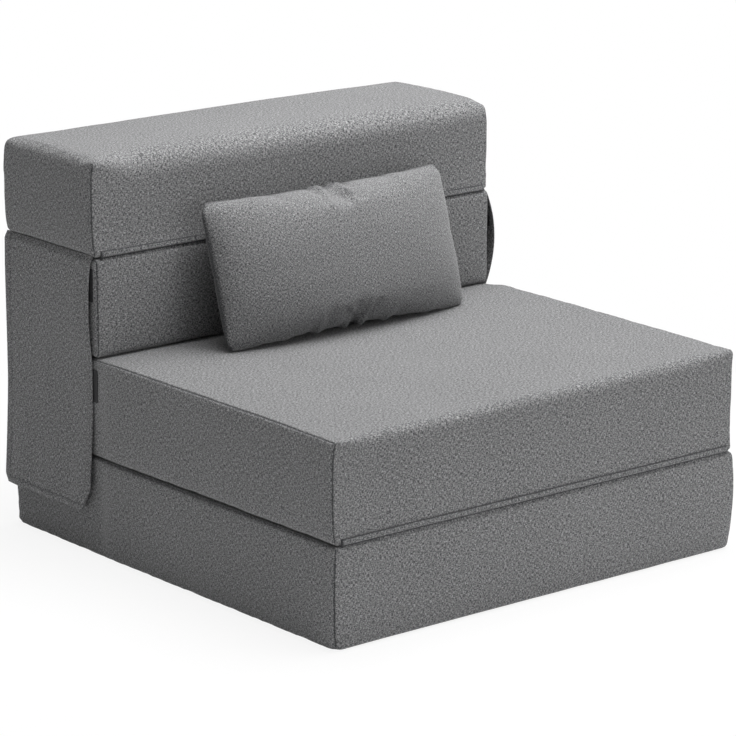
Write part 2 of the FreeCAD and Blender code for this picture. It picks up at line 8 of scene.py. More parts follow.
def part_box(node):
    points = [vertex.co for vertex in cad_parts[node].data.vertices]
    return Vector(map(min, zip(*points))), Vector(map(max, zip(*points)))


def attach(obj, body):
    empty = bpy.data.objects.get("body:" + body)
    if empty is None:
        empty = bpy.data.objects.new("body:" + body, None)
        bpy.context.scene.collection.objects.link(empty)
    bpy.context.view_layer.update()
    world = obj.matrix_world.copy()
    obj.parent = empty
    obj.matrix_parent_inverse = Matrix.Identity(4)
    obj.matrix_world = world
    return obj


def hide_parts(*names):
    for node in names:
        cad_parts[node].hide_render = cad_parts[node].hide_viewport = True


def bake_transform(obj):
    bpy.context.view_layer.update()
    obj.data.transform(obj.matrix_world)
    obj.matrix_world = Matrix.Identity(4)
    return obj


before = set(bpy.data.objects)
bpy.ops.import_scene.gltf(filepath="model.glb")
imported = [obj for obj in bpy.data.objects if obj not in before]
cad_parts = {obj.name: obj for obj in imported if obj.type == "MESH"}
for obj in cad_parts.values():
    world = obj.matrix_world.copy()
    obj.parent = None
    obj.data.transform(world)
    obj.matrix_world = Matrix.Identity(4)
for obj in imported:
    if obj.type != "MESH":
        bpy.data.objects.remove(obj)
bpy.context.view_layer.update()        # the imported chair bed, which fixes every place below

scene = bpy.context.scene
print("frame loaded:", len(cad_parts), "nodes")


class Value:
    # one output socket of a finish; sums on it add the shader's maths nodes
    def __init__(self, finish, socket):
        self.finish = finish
        self.socket = socket

    def maths(self, operation, *others):
        inputs = dict(enumerate((self, *others)))
        return self.finish.node("ShaderNodeMath", {"operation": operation}, inputs)

    def __add__(self, other):
        return self.maths("ADD", other)

    def __sub__(self, other):
        return self.maths("SUBTRACT", other)

    def __mul__(self, other):
        return self.maths("MULTIPLY", other)

    def __rsub__(self, other):
        return (self * -1.0) + other

    def __abs__(self):
        return self.maths("ABSOLUTE")

    __radd__ = __add__
    __rmul__ = __mul__

    def sine(self):
        return self.maths("SINE")

    def above(self, other):
        return self.maths("GREATER_THAN", other)

    def largest(self, other):
        return self.maths("MAXIMUM", other)

    def rise(self, low, high):      # 0 below low, 1 above high, smooth between
        settings = {"interpolation_type": "SMOOTHSTEP"}
        return self.finish.node("ShaderNodeMapRange", settings, {0: self, 1: low, 2: high})


class Finish:
    # one procedural material, or the nodes of a tree that is there already
    def __init__(self, name, tree=None, **constants):
        if tree is None:
            self.material = bpy.data.materials.new(name)
            self.material.use_nodes = True
            tree = self.material.node_tree
            self.shader = tree.nodes["Principled BSDF"]
        self.tree = tree
        for socket, number in constants.items():
            self.shader.inputs[socket.replace("_", " ")].default_value = number

    def node(self, kind, settings=None, sockets=None, out=0):
        made = self.tree.nodes.new(kind)
        for key, value in (settings or {}).items():
            setattr(made, key, value)
        for key, value in (sockets or {}).items():
            self.join(value, made.inputs[key])
        return Value(self, made.outputs[out])

    def join(self, value, socket):
        if isinstance(value, Value):
            self.tree.links.new(value.socket, socket)
        else:
            socket.default_value = value

    def feed(self, socket, value):
        self.join(value, self.shader.inputs[socket])

    def place(self, output="Object"):
        return self.node("ShaderNodeTexCoord", out=output)

    def parts(self, vector):
        split = self.node("ShaderNodeSeparateXYZ", sockets={0: vector}).socket.node
        return [Value(self, socket) for socket in split.outputs]

    def vector(self, x, y):
        return self.node("ShaderNodeCombineXYZ", sockets={0: x, 1: y})

    def noise(self, vector, scale, detail, dimensions):
        sockets = {"Vector": vector, "Scale": scale, "Detail": detail}
        return self.node("ShaderNodeTexNoise", {"noise_dimensions": dimensions}, sockets)

    def clouds(self, scale, detail):         # noise all through the piece
        return self.noise(self.place(), scale, detail, "3D")

    def yarns(self, x, y, detail):           # noise on the cloth's own plane
        return self.noise(self.vector(x, y), 1.0, detail, "2D")

    def blend(self, share, *colours):        # each colour is three numbers or a socket
        pair = [one if isinstance(one, Value) else (*one, 1) for one in colours]
        sockets = {0: share, 6: pair[0], 7: pair[1]}
        return self.node("ShaderNodeMix", {"data_type": "RGBA"}, sockets, out=2)

    def mark(self, name):            # a value stored at the mesh's points
        return self.node("ShaderNodeAttribute", {"attribute_name": name}, out="Fac")

    def surface(self, colour, rough, height, distance, strength):
        self.feed("Base Color", colour)
        self.feed("Roughness", rough)
        sockets = {"Height": height, "Distance": distance, "Strength": strength}
        self.feed("Normal", self.node("ShaderNodeBump", sockets=sockets))
        return self.material

    def surfaceUv(self):
        # along and up the cloth on a face that looks to the front, the side or up
        x, y, z = self.parts(self.place())
        acrossX, acrossY, acrossZ = [abs(part) for part in self.parts(self.place("Normal"))]
        onEnd = acrossX.above(acrossY.largest(acrossZ))
        onTop = acrossZ.above(acrossY.largest(acrossX))
        return x + (y - x) * onEnd, z + (y - z) * onTop


weave = {
    "pitch": 0.00135,            # one over and one under of the yarns, in metres
    "dark": (0.042, 0.043, 0.046),
    "light": (0.600, 0.600, 0.602),
    "middle": 0.232,             # the cloth's place between the two shades
    "streak": 1.16,
    "fleck": 0.26,
    "cloud": 0.06,
    "over": 0.12,                # how much lighter a yarn is where it lies on top
    "slub": 0.08,
    "seam": 0.45,                # how much darker the cloth is in a seam, and in the painted shade of the fold strips' creases and edges
    "wear": 0.04,
    "fine": 1000,                # yarn shades across a yarn, per metre
    "long": 230,                 # and along it
    "relief": 0.00028,
}


def heatherCloth(name, tone=0.0, streak=1.0, finer=1.0):
    # two shades of grey yarn woven over and under, with slubs, flecks and soft cloudiness
    cloth = Finish(name, Sheen_Weight=0.22, Sheen_Roughness=0.5, Specular_IOR_Level=0.25)
    u, v = cloth.surfaceUv()
    drift = cloth.clouds(90.0, 1.0) * 0.0012
    u, v = u + drift, v + drift
    turn = 2 * math.pi / weave["pitch"]
    over = (u * turn).sine() * (v * turn).sine() * 0.5 + 0.5
    fine, long = weave["fine"] * finer, weave["long"] * finer
    warp = cloth.yarns(u * fine, v * long, 1.5)
    weft = cloth.yarns(u * long + 31, v * fine, 1.5)
    fleck = cloth.yarns((u + v * 0.35) * 560, (v - u * 0.35) * 760, 2.0)
    slub = cloth.yarns(u * 60 + 9, v * 900, 1.0).rise(0.62, 0.75)
    share = (warp + weft - 1.0) * (weave["streak"] * streak) + (fleck - 0.5) * weave["fleck"]
    share = share + (over - 0.5) * weave["over"] + slub * weave["slub"]
    share = share + (cloth.clouds(7.0, 3.0) - 0.5) * weave["cloud"]
    # the seam mark darkens sewn seams, and on the fold strips it is painted shade in the crease,
    # under the top edge and at the ends
    seam, wear = cloth.mark("seam"), cloth.mark("wear")
    share = share + (weave["middle"] + tone) - seam * weave["seam"] + wear * weave["wear"]
    colour = cloth.blend(share, weave["dark"], weave["light"])
    height = over * 0.7 + fleck * 0.4 + slub * 0.5
    return cloth.surface(colour, 0.95 - over * 0.12, height, weave["relief"], 0.40)


trims = {
    "tapeRib": 0.0011,           # pitches in metres
    "hookRow": 0.0016,
    "dotRow": 0.009,             # rubber dots of the grip cloth
    "foamCells": 620.0,          # per metre
    "sawLines": 1400.0,
}


def tapeCloth(name, colour):
    # close ribbed tape of a zip
    tape = Finish(name, Sheen_Weight=0.1)
    u, v = tape.surfaceUv()
    turn = 2 * math.pi / trims["tapeRib"]
    rib = (u * turn).sine() * 0.5 + (v * turn * 0.5).sine() * (u * turn * 0.5).sine() * 0.5
    cloud = tape.clouds(60.0, 3.0)
    light = [part * 2.4 + 0.02 for part in colour]
    share = rib * 0.22 + (cloud - 0.5) * 0.5 + 0.35
    return tape.surface(tape.blend(share, colour, light), 0.72 + cloud * 0.2, rib, 0.0002, 0.6)


def hookTape(name, hooked):
    # rows of small stiff hooks, or the matted pile that they catch
    tape = Finish(name, Sheen_Weight=0.0 if hooked else 0.08)
    u, v = tape.surfaceUv()
    if hooked:
        turn = 2 * math.pi / trims["hookRow"]
        pile = ((u * turn).sine() * 0.5 + 0.5) * ((v * turn).sine() * 0.5 + 0.5)
        shade = pile.rise(0.25, 0.7)
        rough = 0.45 + shade * 0.35
    else:
        pile = tape.yarns(u * 700, v * 700, 4.0) + tape.yarns(u * 160, v * 160, 2.0) * 0.6
        shade = pile.rise(0.5, 1.1)
        rough = 0.82 + shade * 0.15
    colour = tape.blend(shade, (0.004, 0.004, 0.005), (0.022, 0.022, 0.024))
    return tape.surface(colour, rough, pile, 0.0006, 0.9)


def plainPart(name, dark, light, grain, rough, metallic=0.0):
    # moulded plastic, thread or cast metal with fine grain and handling marks
    part = Finish(name, Metallic=metallic)
    fine, marks = part.clouds(grain, 4.0), part.clouds(grain * 0.11, 3.0)
    colour = part.blend(fine * 0.5 + marks * 0.5, dark, light)
    return part.surface(colour, (marks - 0.5) * 0.3 + rough, fine, 0.00008, 0.6)


def foamBlock(name):
    # open cells cut by a saw, with faint cutting lines
    foam = Finish(name)
    sockets = {"Vector": foam.place(), "Scale": trims["foamCells"]}
    cells = foam.node("ShaderNodeTexVoronoi", sockets=sockets)
    soft = foam.clouds(18.0, 3.0)
    z = foam.parts(foam.place())[2]
    saw = (z * trims["sawLines"] + soft * 3.0).sine() * 0.5 + 0.5
    share = cells * 0.9 + soft * 0.4 + saw * 0.08
    colour = foam.blend(share, (0.60, 0.52, 0.33), (0.86, 0.80, 0.60))
    return foam.surface(colour, 0.95, cells + saw * 0.3, 0.0007, 0.7)


def fibreFill(name):
    # tufts of white spun fibre
    fill = Finish(name, Sheen_Weight=0.3)
    twist, hair = fill.clouds(40.0, 5.0), fill.clouds(420.0, 3.0)
    colour = fill.blend(twist * 0.6 + hair * 0.5, (0.62, 0.62, 0.60), (0.9, 0.9, 0.88))
    return fill.surface(colour, 0.9, twist + hair * 0.6, 0.002, 0.7)


def gripCloth(name):
    # black non-slip cloth with small raised rubber dots in staggered rows
    grip = Finish(name)
    u, v = grip.surfaceUv()
    turn = 2 * math.pi / trims["dotRow"]
    dots = ((u * turn).sine() * (v * turn).sine()).rise(0.52, 0.72)
    ground = grip.yarns(u * 900, v * 900, 2.0)
    cloth = grip.blend(ground * 0.6 + 0.2, (0.014, 0.014, 0.015), (0.05, 0.05, 0.053))
    colour = grip.blend(dots, cloth, (0.02, 0.02, 0.021))
    return grip.surface(colour, 0.9 - dots * 0.42, dots + ground * 0.12, 0.0009, 0.9)


coverCloth = heatherCloth("cover_cloth")
flapCloth = heatherCloth("flap_cloth", tone=0.02, streak=1.15)
foldCloth = heatherCloth("fold_cloth", tone=-0.05)
cushionCloth = heatherCloth("cushion_cloth", tone=-0.008, finer=1.35)
greyThread = plainPart("grey_thread", (0.07, 0.07, 0.075), (0.17, 0.17, 0.175), 900, 0.7)
blackThread = plainPart("black_thread", (0.01, 0.01, 0.011), (0.05, 0.05, 0.052), 900, 0.65)
zipTape = tapeCloth("zip_cloth", (0.02, 0.02, 0.022))
zipCoil = plainPart("zip_coil", (0.014, 0.014, 0.016), (0.04, 0.04, 0.043), 500, 0.38)
zipMetal = plainPart("zip_metal", (0.30, 0.30, 0.31), (0.55, 0.55, 0.56), 700, 0.34, metallic=1.0)
hooks = hookTape("hook_tape", True)
loops = hookTape("loop_tape", False)
foam = foamBlock("foam")
fibre = fibreFill("fibre")
grip = gripCloth("grip_cloth")
print("finishes made")


def addPiece(name, points, faces, finish, body=None, marks=None):
    mesh = bpy.data.meshes.new(name)
    mesh.from_pydata(np.asarray(points, float).tolist(), [], [tuple(face) for face in faces])
    mesh.materials.append(finish)
    for mark, values in (marks or {}).items():
        layer = mesh.attributes.new(mark, "FLOAT", "POINT")
        layer.data.foreach_set("value", np.asarray(values, np.float32))
    mesh.shade_smooth()
    mesh.update()
    piece = bpy.data.objects.new(name, mesh)
    scene.collection.objects.link(piece)
    if body:
        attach(piece, body)
    return piece


def ripple(points, size, seed):
    # a smooth random field from -1 to 1 with features of that size, in metres
    count, shift = 24, 100.37        # the shift keeps the cell numbers above 0
    table = np.random.default_rng(seed).uniform(-1, 1, (count, count, count))
    spot = np.asarray(points, float) / size + shift
    cell = np.floor(spot).astype(int)
    part = spot - cell
    part = part * part * (3 - 2 * part)
    total = 0
    for near in np.ndindex(2, 2, 2):
        share = np.prod(np.where(near, part, 1 - part), axis=1)
        i, j, k = ((cell + near) % count).T
        total = total + share * table[i, j, k]
    return total


def ease(values, low, high):
    share = np.clip((values - low) / (high - low), 0, 1)
    return share * share * (3 - 2 * share)


def graded(low, high, step, extra=()):
    # lines along one side of a block, closer together near its two ends
    near = [0, 1.1, 2.3, 3.7, 5.3, 7.2, 9.4, 12, 15, 19, 24, 31, 39]      # millimetres
    near = [place / 1000 for place in near if place / 1000 < (high - low) * 0.42]
    inside = np.linspace(near[-1], high - low - near[-1], max(2, round((high - low) / step)))
    lines = {round(place, 5) for place in (*near, *inside, *(high - low - n for n in near))}
    lines |= {round(place - low, 5) for place in extra}
    kept = []
    for place in sorted(lines):
        if not kept or place - kept[-1] > 0.0004:
            kept.append(place)
    return low + np.array(kept)


def shellGrid(lines):
    # the closed skin of a box, divided at the given lines along x, y and z
    counts = [len(line) for line in lines]
    quads = []
    for axis in range(3):
        first, second = [other for other in range(3) if other != axis]
        spans = np.arange(counts[first] - 1), np.arange(counts[second] - 1)
        a, b = np.meshgrid(*spans, indexing="ij")
        for side in (0, counts[axis] - 1):
            corners = []
            for da, db in ((0, 0), (1, 0), (1, 1), (0, 1)):
                spot = np.zeros((*a.shape, 3), int)
                spot[..., axis] = side
                spot[..., first] = a + da
                spot[..., second] = b + db
                corners.append(spot.reshape(-1, 3))
            if (side == 0) == (axis != 1):
                corners.reverse()
            quads.append(np.stack(corners, axis=1))
    quads = np.concatenate(quads)
    codes = (quads[..., 0] * counts[1] + quads[..., 1]) * counts[2] + quads[..., 2]
    unique, faces = np.unique(codes, return_inverse=True)
    k = unique % counts[2]
    j = unique // counts[2] % counts[1]
    i = unique // (counts[1] * counts[2])
    points = np.stack([lines[0][i], lines[1][j], lines[2][k]], axis=1)
    return points, faces.reshape(codes.shape)


def tubeFaces(rings, size, flip=False):
    # quads between closed rings of points, and a face over each open end
    faces = []
    for start in range(0, (rings - 1) * size, size):
        for j in range(size):
            k = (j + 1) % size
            faces.append((start + j, start + k, start + size + k, start + size + j))
    faces.append(tuple(reversed(range(size))))
    faces.append(tuple(range((rings - 1) * size, rings * size)))
    return [face[::-1] for face in faces] if flip else faces


def blockDistance(points, shape):
    # how far each point is outside a block with rounded long edges and rounded ends
    place = points - shape["centre"]
    half = shape["half"]
    rearLow, rearHigh, frontHigh, frontLow = shape["rounds"]
    rear = np.where(place[:, 2] > 0, rearHigh, rearLow)
    front = np.where(place[:, 2] > 0, frontHigh, frontLow)
    radius = np.where(place[:, 1] > 0, rear, front)
    if "ends" in shape:
        sides, top, bottom = shape["ends"]
        sides = sides + (shape["plan"] - sides) * ease(-place[:, 2] / half[2], -0.3, 0.9)
        below = half[2] - np.abs(place[:, 2])
        beside = half[1] - np.abs(place[:, 1])
        level = ease(beside - below, -0.004, 0.022)
        ends = sides + (np.where(place[:, 2] > 0, top, bottom) - sides) * level
        tight = 1 - ease(half[0] - np.abs(place[:, 0]), 0.0, covers["cornerReach"])
        corner = np.where(place[:, 0] > 0, shape["corner"][1], shape["corner"][0])
        radius = radius + (np.minimum(radius, corner) - radius) * tight
    else:
        ends = shape["endRound"]
    a = np.abs(place[:, 1]) - half[1] + radius
    b = np.abs(place[:, 2]) - half[2] + radius
    around = np.minimum(np.maximum(a, b), 0) + np.hypot(np.maximum(a, 0), np.maximum(b, 0))
    around = around - radius + ends
    along = np.abs(place[:, 0]) - half[0] + ends
    gap = np.minimum(np.maximum(around, along), 0)
    gap = gap + np.hypot(np.maximum(around, 0), np.maximum(along, 0)) - ends
    turn = np.arctan2(np.maximum(along, 0), np.maximum(around, 0) + 1e-9)
    seam = ends * np.abs(turn - math.pi / 4) + np.maximum(-np.minimum(around, along), 0)
    return gap, seam


def outwards(points, shape):
    slopes = []
    for step in np.eye(3) * 2e-5:
        ahead, behind = [blockDistance(points + way * step, shape)[0] for way in (1, -1)]
        slopes.append(ahead - behind)
    normal = np.stack(slopes, axis=1)
    return normal / np.maximum(np.linalg.norm(normal, axis=1), 1e-12)[:, None]


def settle(points, shape):
    # moves each point straight onto the block's skin; gives the way out there too
    for _ in range(3):
        points = points - outwards(points, shape) * blockDistance(points, shape)[0][:, None]
    return points, outwards(points, shape)


def shapeOf(node, rounds, endRound, shrink=0.0, block=None):
    # a solid's box with its rounds; a block has rounds of its own at the ends and corners
    low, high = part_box(node)
    shape = {
        "centre": np.array((low + high) / 2),
        "half": np.array((high - low) / 2) - shrink,
        "rounds": [radius / 1000 for radius in rounds],
        "endRound": endRound / 1000,
        "low": np.array(low),
        "high": np.array(high),
    }
    if block:
        for key in ("ends", "corner"):
            shape[key] = [radius / 1000 for radius in block[key]]
        shape["plan"] = block["plan"] / 1000
    return shape


def capsules(centres, directions, length, radius):
    # short rounded lengths of thread, or zip teeth
    ring = 5
    points, faces = [], []
    for centre, along in zip(centres, directions):
        along = np.array(along) / np.linalg.norm(along)
        side = np.cross(along, (0.31, 0.42, 0.85))
        side /= np.linalg.norm(side)
        other = np.cross(along, side)
        start = len(points)
        points.append(centre - along * length / 2)
        for shift in (-0.3, 0.3):
            for i in range(ring):
                angle = 2 * math.pi * i / ring
                out = side * math.cos(angle) + other * math.sin(angle)
                points.append(centre + along * length * shift + out * radius)
        points.append(centre + along * length / 2)
        first, second, last = start + 1, start + 1 + ring, start + 1 + 2 * ring
        for i in range(ring):
            j = (i + 1) % ring
            faces.append((start, first + j, first + i))
            faces.append((first + i, first + j, second + j, second + i))
            faces.append((last, second + i, second + j))
    return np.array(points), faces


def stitchRuns(runs, pitch, radius=0.00042):
    # evenly spaced stitches along lines of points
    centres, directions = [], []
    for run in runs:
        run = np.asarray(run, float)
        spans = np.linalg.norm(np.diff(run, axis=0), axis=1)
        reach = np.concatenate([[0], np.cumsum(spans)])
        for place in np.arange(pitch / 2, reach[-1], pitch):
            spots = place + pitch * 0.2, place - pitch * 0.2
            ahead, behind = [
                np.array([np.interp(spot, reach, run[:, axis]) for axis in range(3)])
                for spot in spots
            ]
            centres.append((ahead + behind) / 2)
            directions.append(ahead - behind)
    return capsules(centres, directions, pitch * 0.74, radius)


# where the blocks meet, in metres
chair = {
    "halfWidth": 0.3805,
    "front": -0.3965,            # the fold line of base and seat
    "rear": 0.3965,
    "backFront": 0.1655,         # front of the backrest
    "seatTop": 0.3038,
}
# The four foam blocks and their covers, in millimetres. rounds run rear low, rear high,
# front high, front low; ends run sides, top, bottom, and seams say how deep each of those is
# sewn; corner is the tighter round of the long edges at the left and right end; plan rounds
# the upright edges towards the foot; bulge runs front, rear, left, right.
plainBlock = {
    "low": 0,                    # how much fuller the faces are low down
    "nearFlap": 1,               # 1 keeps the sides flat under the flaps
    "swell": 0,                  # how far the open top stands up
    "slope": 0,                  # and how far it falls to the front
    "crown": 0,                  # fall of the top to front and rear
    "droop": 0,                  # and to the right
}
blocks = {
    "base": {
        **plainBlock, "rounds": (12, 10, 7, 6), "ends": (5, 6, 5), "seams": (1, 0.5, 0.3),
        "corner": (5, 10), "plan": 17, "bulge": (3, -1, 7, 6), "low": 0.25, "seed": 3,
    },
    "seat": {
        **plainBlock, "rounds": (10, 8, 20, 8), "ends": (5, 6, 9), "seams": (1, 1, 0.3),
        "corner": (5, 9), "plan": 7, "bulge": (-4, -1, 5, -1), "swell": 6.5, "slope": 2, "seed": 11,
    },
    "back_middle": {
        **plainBlock, "rounds": (8, 10, 8, 10), "ends": (8, 8, 10), "seams": (1, 0.6, 0.3),
        "corner": (8, 8), "plan": 8, "bulge": (2.5, -1, 0, 0), "seed": 23,
    },
    "back_top": {
        **plainBlock, "rounds": (10, 20, 42, 8), "ends": (5, 19, 9), "seams": (1, 0, 0.8),
        "corner": (14, 36), "plan": 6, "bulge": (-4, 5, 6, 1), "nearFlap": 0,
        "crown": 3.5, "droop": 4, "seed": 37,
    },
}
covers = {
    "cornerReach": 0.085,
    "dent": 0.0010,              # slow unevenness of the wadding
    "dentSize": 0.17,
    "crease": 0.00035,
    "creaseSize": 0.045,
    "seamDepth": 0.0011,
    "seamWidth": 0.0012,
    "pucker": 0.0012,
    "puckerSize": 0.011,
    "puckerReach": 0.010,
    "step": 0.0085,
    "zipHalfLength": 0.3140,
    "zipHalfHeight": 0.0085,
    "zipDepth": 0.0058,
    "gripHalf": (0.352, 0.368),  # the recess under the base for the grip panel
    "gripDepth": 0.0017,
    "coreGap": 0.0022,           # between the foam and its cover
}


def fullness(block, t):
    # how full an upright face is at height t, from -1 at its foot to 1 at its top
    t = np.clip(t, -1, 1)
    return (1 - np.abs(t) ** 4.5) * (1 - block["low"] * t)


def topSwell(block, x, y):
    # how far the open part of a block's top stands above its plain solid
    inFront = ease(-y, 0.186, -chair["front"]) ** 1.4
    openTop = ease(chair["backFront"] - 0.0005 - y, 0.0, 0.05)
    swell = block["swell"] * (0.6 + 0.4 * x / chair["halfWidth"])
    return openTop * (swell - block["slope"] * inFront) / 1000


def dress(points, shape, block):
    # the fullness and droop that the plain rounded block lacks
    place = (points - shape["centre"]) / shape["half"]
    s, r, t = place.T
    moved = points.copy()
    full = fullness(block, t)
    front, rear, left, right = [out / 1000 for out in block["bulge"]]
    forward = np.where(r < 0, -front, rear) * np.abs(r) ** 3
    sideways = np.where(s < 0, -left, right) * np.abs(s) ** 3
    free = 1 - block["nearFlap"] * ease(points[:, 1], 0.130, 0.168)
    moved[:, 1] += forward * full * (1 - 0.25 * s ** 6)
    moved[:, 0] += sideways * full * free * (1 - 0.25 * r ** 6)
    lift = np.clip(t, 0, 1) ** 2
    fall = block["crown"] * r ** 2 + block["droop"] * np.clip(s, 0, 1) ** 2
    moved[:, 2] += lift * (topSwell(block, points[:, 0], points[:, 1]) - fall / 1000)
    return moved


def makeCover(name, block):
    shape = block["shape"] = shapeOf(f"{name}_cover", block["rounds"], 8, block=block)
    low, high, centre = shape["low"], shape["high"], shape["centre"]
    halfZip, halfHigh = covers["zipHalfLength"], covers["zipHalfHeight"]
    ends = [side * (halfZip + past) for side in (-1, 1) for past in (-0.002, 0, 0.002, 0.004)]
    rows = [0.0035, 0.0066, 0.0076, 0.0084, 0.0093, 0.0108, 0.0135]
    rows = [centre[2] + side * row for side in (-1, 1) for row in rows]
    extra = (ends, (), rows)         # finer lines round the zip's groove
    lines = [graded(low[axis], high[axis], covers["step"], extra[axis]) for axis in range(3)]
    points, faces = shellGrid(lines)
    rest, normal = settle(points, shape)
    _, seam = blockDistance(rest, shape)
    points = dress(rest, shape, block)
    seed = block["seed"]
    level = ease(1 - np.abs(normal[:, 0]), 0.5, 0.95)    # faces that meet a neighbour only sink
    dent = (ripple(rest, covers["dentSize"], seed) + level) * covers["dent"] * (1 - 0.7 * level)
    creases = ripple(rest * (1, 1, 1.6), covers["creaseSize"], seed + 1) + level
    dent += creases * covers["crease"]
    upright = 1 - ease(np.abs(normal[:, 2]) - np.abs(normal[:, 1]), -0.5, 0.3)
    sides, top, bottom = block["seams"]
    sewn = np.where(normal[:, 2] > 0, top, bottom)
    sewn = sewn + (sides - sewn) * upright
    dent += np.exp(-(seam / covers["seamWidth"]) ** 2) * covers["seamDepth"] * sewn
    pull = np.clip(ripple(rest, covers["puckerSize"], seed + 2) * 0.8 + 0.1, 0, 1)
    dent += pull * np.exp(-(seam / covers["puckerReach"]) ** 2) * covers["pucker"]
    rearFace = (normal[:, 1] > 0.9) * ease(halfZip + 0.003 - np.abs(points[:, 0]), 0, 0.004)
    groove = ease(halfHigh + 0.0008 - np.abs(points[:, 2] - centre[2]), 0, 0.0018)
    dent += rearFace * groove * (covers["zipDepth"] + block["bulge"][1] / 1000)
    points = points - normal * dent[:, None]
    if name == "base":
        under = normal[:, 2] < -0.9
        for axis, reach in enumerate(covers["gripHalf"]):
            under = under * ease(reach - np.abs(points[:, axis]), 0, 0.004)
        points[:, 2] += under * covers["gripDepth"]
    edge = np.sort(np.abs(normal), axis=1)[:, 1]
    marks = {
        "seam": np.exp(-(seam / 0.0010) ** 2) * sewn,
        "wear": ease(edge, 0.25, 0.65) * (0.6 + 0.4 * ripple(rest, 0.03, seed + 5)),
    }
    cover = addPiece(f"{name}_cover_cloth", points, faces, coverCloth, name, marks)
    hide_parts(f"{name}_cover")


def makeCore(name, block):
    rounds = [max(2, radius - 7) for radius in block["rounds"]]
    gap = covers["coreGap"]
    shape = shapeOf(f"{name}_core", rounds, 3, gap)
    sides = zip(shape["low"], shape["high"])
    points, faces = shellGrid([graded(low + gap, high - gap, 0.04) for low, high in sides])
    points, normal = settle(points, shape)
    inner = {**block, "bulge": [min(0, out) for out in block["bulge"]], "swell": 0}
    points = dress(points, shape, inner)
    points -= normal * ((ripple(points, 0.02, block["seed"]) + 1) * 0.0004)[:, None]
    core = addPiece(f"{name}_foam", points, faces, foam, name)
    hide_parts(f"{name}_core")


for name, block in blocks.items():
    makeCover(name, block)
    makeCore(name, block)
print("covers and foam made")


# zips: tape, coil teeth, and a puller on each slider
zips = {
    "tapeWidth": 0.0100,
    "tapeThick": 0.0009,
    "stations": 130,
    "toothPitch": 0.0021,
    "toothLength": 0.0036,
    "toothRadius": 0.00062,
    "stopLength": 0.0056,
    "stopRadius": 0.0011,
    "pullerLength": 0.024,
    "pullerWidth": 0.0052,
    "pullerThick": 0.0011,
    "pullerRows": 17,
}


def makeZip(owner, sliderBody, ways):
    # ways are the zip's own directions (along, out, up) in the chair's
    tapeLow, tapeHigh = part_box(f"{owner}_zipper_tape")
    coilLow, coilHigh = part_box(f"{owner}_zipper_coil")
    middle = np.array((coilLow + coilHigh) / 2)
    tapeMiddle = np.array((tapeLow + tapeHigh) / 2)
    halfLength = (tapeHigh[0] - tapeLow[0]) / 2
    along, out, up = [np.array(axis, float) for axis in ways]
    # the tape: two ribbed strips that meet under the coil
    profile = [(high, 0.0002 if abs(high) == 0.0026 else 0.0)
               for high in (-0.0047, -0.0026, -0.0003, 0.0003, 0.0026, 0.0047)]
    ring = profile + [(high, back - zips["tapeThick"]) for high, back in reversed(profile)]
    points = [tapeMiddle + along * place + up * high + out * (back + 0.0004)
              for place in np.linspace(-halfLength, halfLength, zips["stations"])
              for high, back in ring]
    faces = tubeFaces(zips["stations"], len(ring))
    tape = addPiece(f"{owner}_zip_tape", points, faces, zipTape, owner)
    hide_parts(f"{owner}_zipper_tape")
    # the coil: two rows of rounded teeth, each row between the other's, and its end stops
    centres, directions = [], []
    places = np.arange(-halfLength + 0.003, halfLength - 0.003, zips["toothPitch"] / 2)
    for i, place in enumerate(places):
        side = 1 if i % 2 else -1
        centres.append(middle + along * place + up * side * 0.0010 + out * 0.0003)
        directions.append(up + along * 0.12 * side)
    points, faces = capsules(centres, directions, zips["toothLength"], zips["toothRadius"])
    ends = [middle + along * side * (halfLength - 0.0022) for side in (-1, 1)]
    stops, stopFaces = capsules(ends, [up, up], zips["stopLength"], zips["stopRadius"])
    faces += [tuple(index + len(points) for index in face) for face in stopFaces]
    teeth = np.concatenate([points, stops])
    coil = addPiece(f"{owner}_zip_teeth", teeth, faces, zipCoil, owner)
    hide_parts(f"{owner}_zipper_coil")
    # the puller: a thin dished tab that hangs from the slider's nose
    sliderLow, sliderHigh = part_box(f"{owner}_zipper_slider")
    nose = np.array((sliderLow + sliderHigh) / 2) + out * 0.0030 + along * 0.001
    hang = np.array((0.0, 0.0, -1.0)) if abs(out[2]) < 0.5 else along
    side = np.cross(out, hang)
    outline = ((-1, 0), (-0.7, 1), (0, 1), (0.7, 1), (1, 0), (0.7, -1), (0, -1), (-0.7, -1))
    points = []
    for part in np.linspace(0, 1, zips["pullerRows"]):
        wide = zips["pullerWidth"] / 2
        wide *= 0.55 + 0.45 * math.sin(min(1, part * 1.6) * math.pi / 2)
        wide *= math.sqrt(max(0.06, 1 - max(0, (part - 0.8) / 0.2) ** 2 * 0.94))
        dish = 0.5 - 0.28 * math.exp(-((part - 0.55) / 0.2) ** 2)
        for across, thick in outline:
            press = zips["pullerThick"] * (dish if abs(across) < 0.5 else 0.5)
            spot = nose + hang * part * zips["pullerLength"] + side * across * wide
            points.append(spot + out * (thick * press - 0.0001))
    faces = tubeFaces(zips["pullerRows"], len(outline))
    puller = addPiece(f"{owner}_zip_puller", points, faces, zipMetal, sliderBody)
    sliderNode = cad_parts[f"{owner}_zipper_slider"]
    sliderNode.data.materials.clear()
    sliderNode.data.materials.append(zipMetal)


for name in blocks:
    makeZip(name, f"{name}_slider", ((1, 0, 0), (0, 1, 0), (0, 0, 1)))
print("zips made")


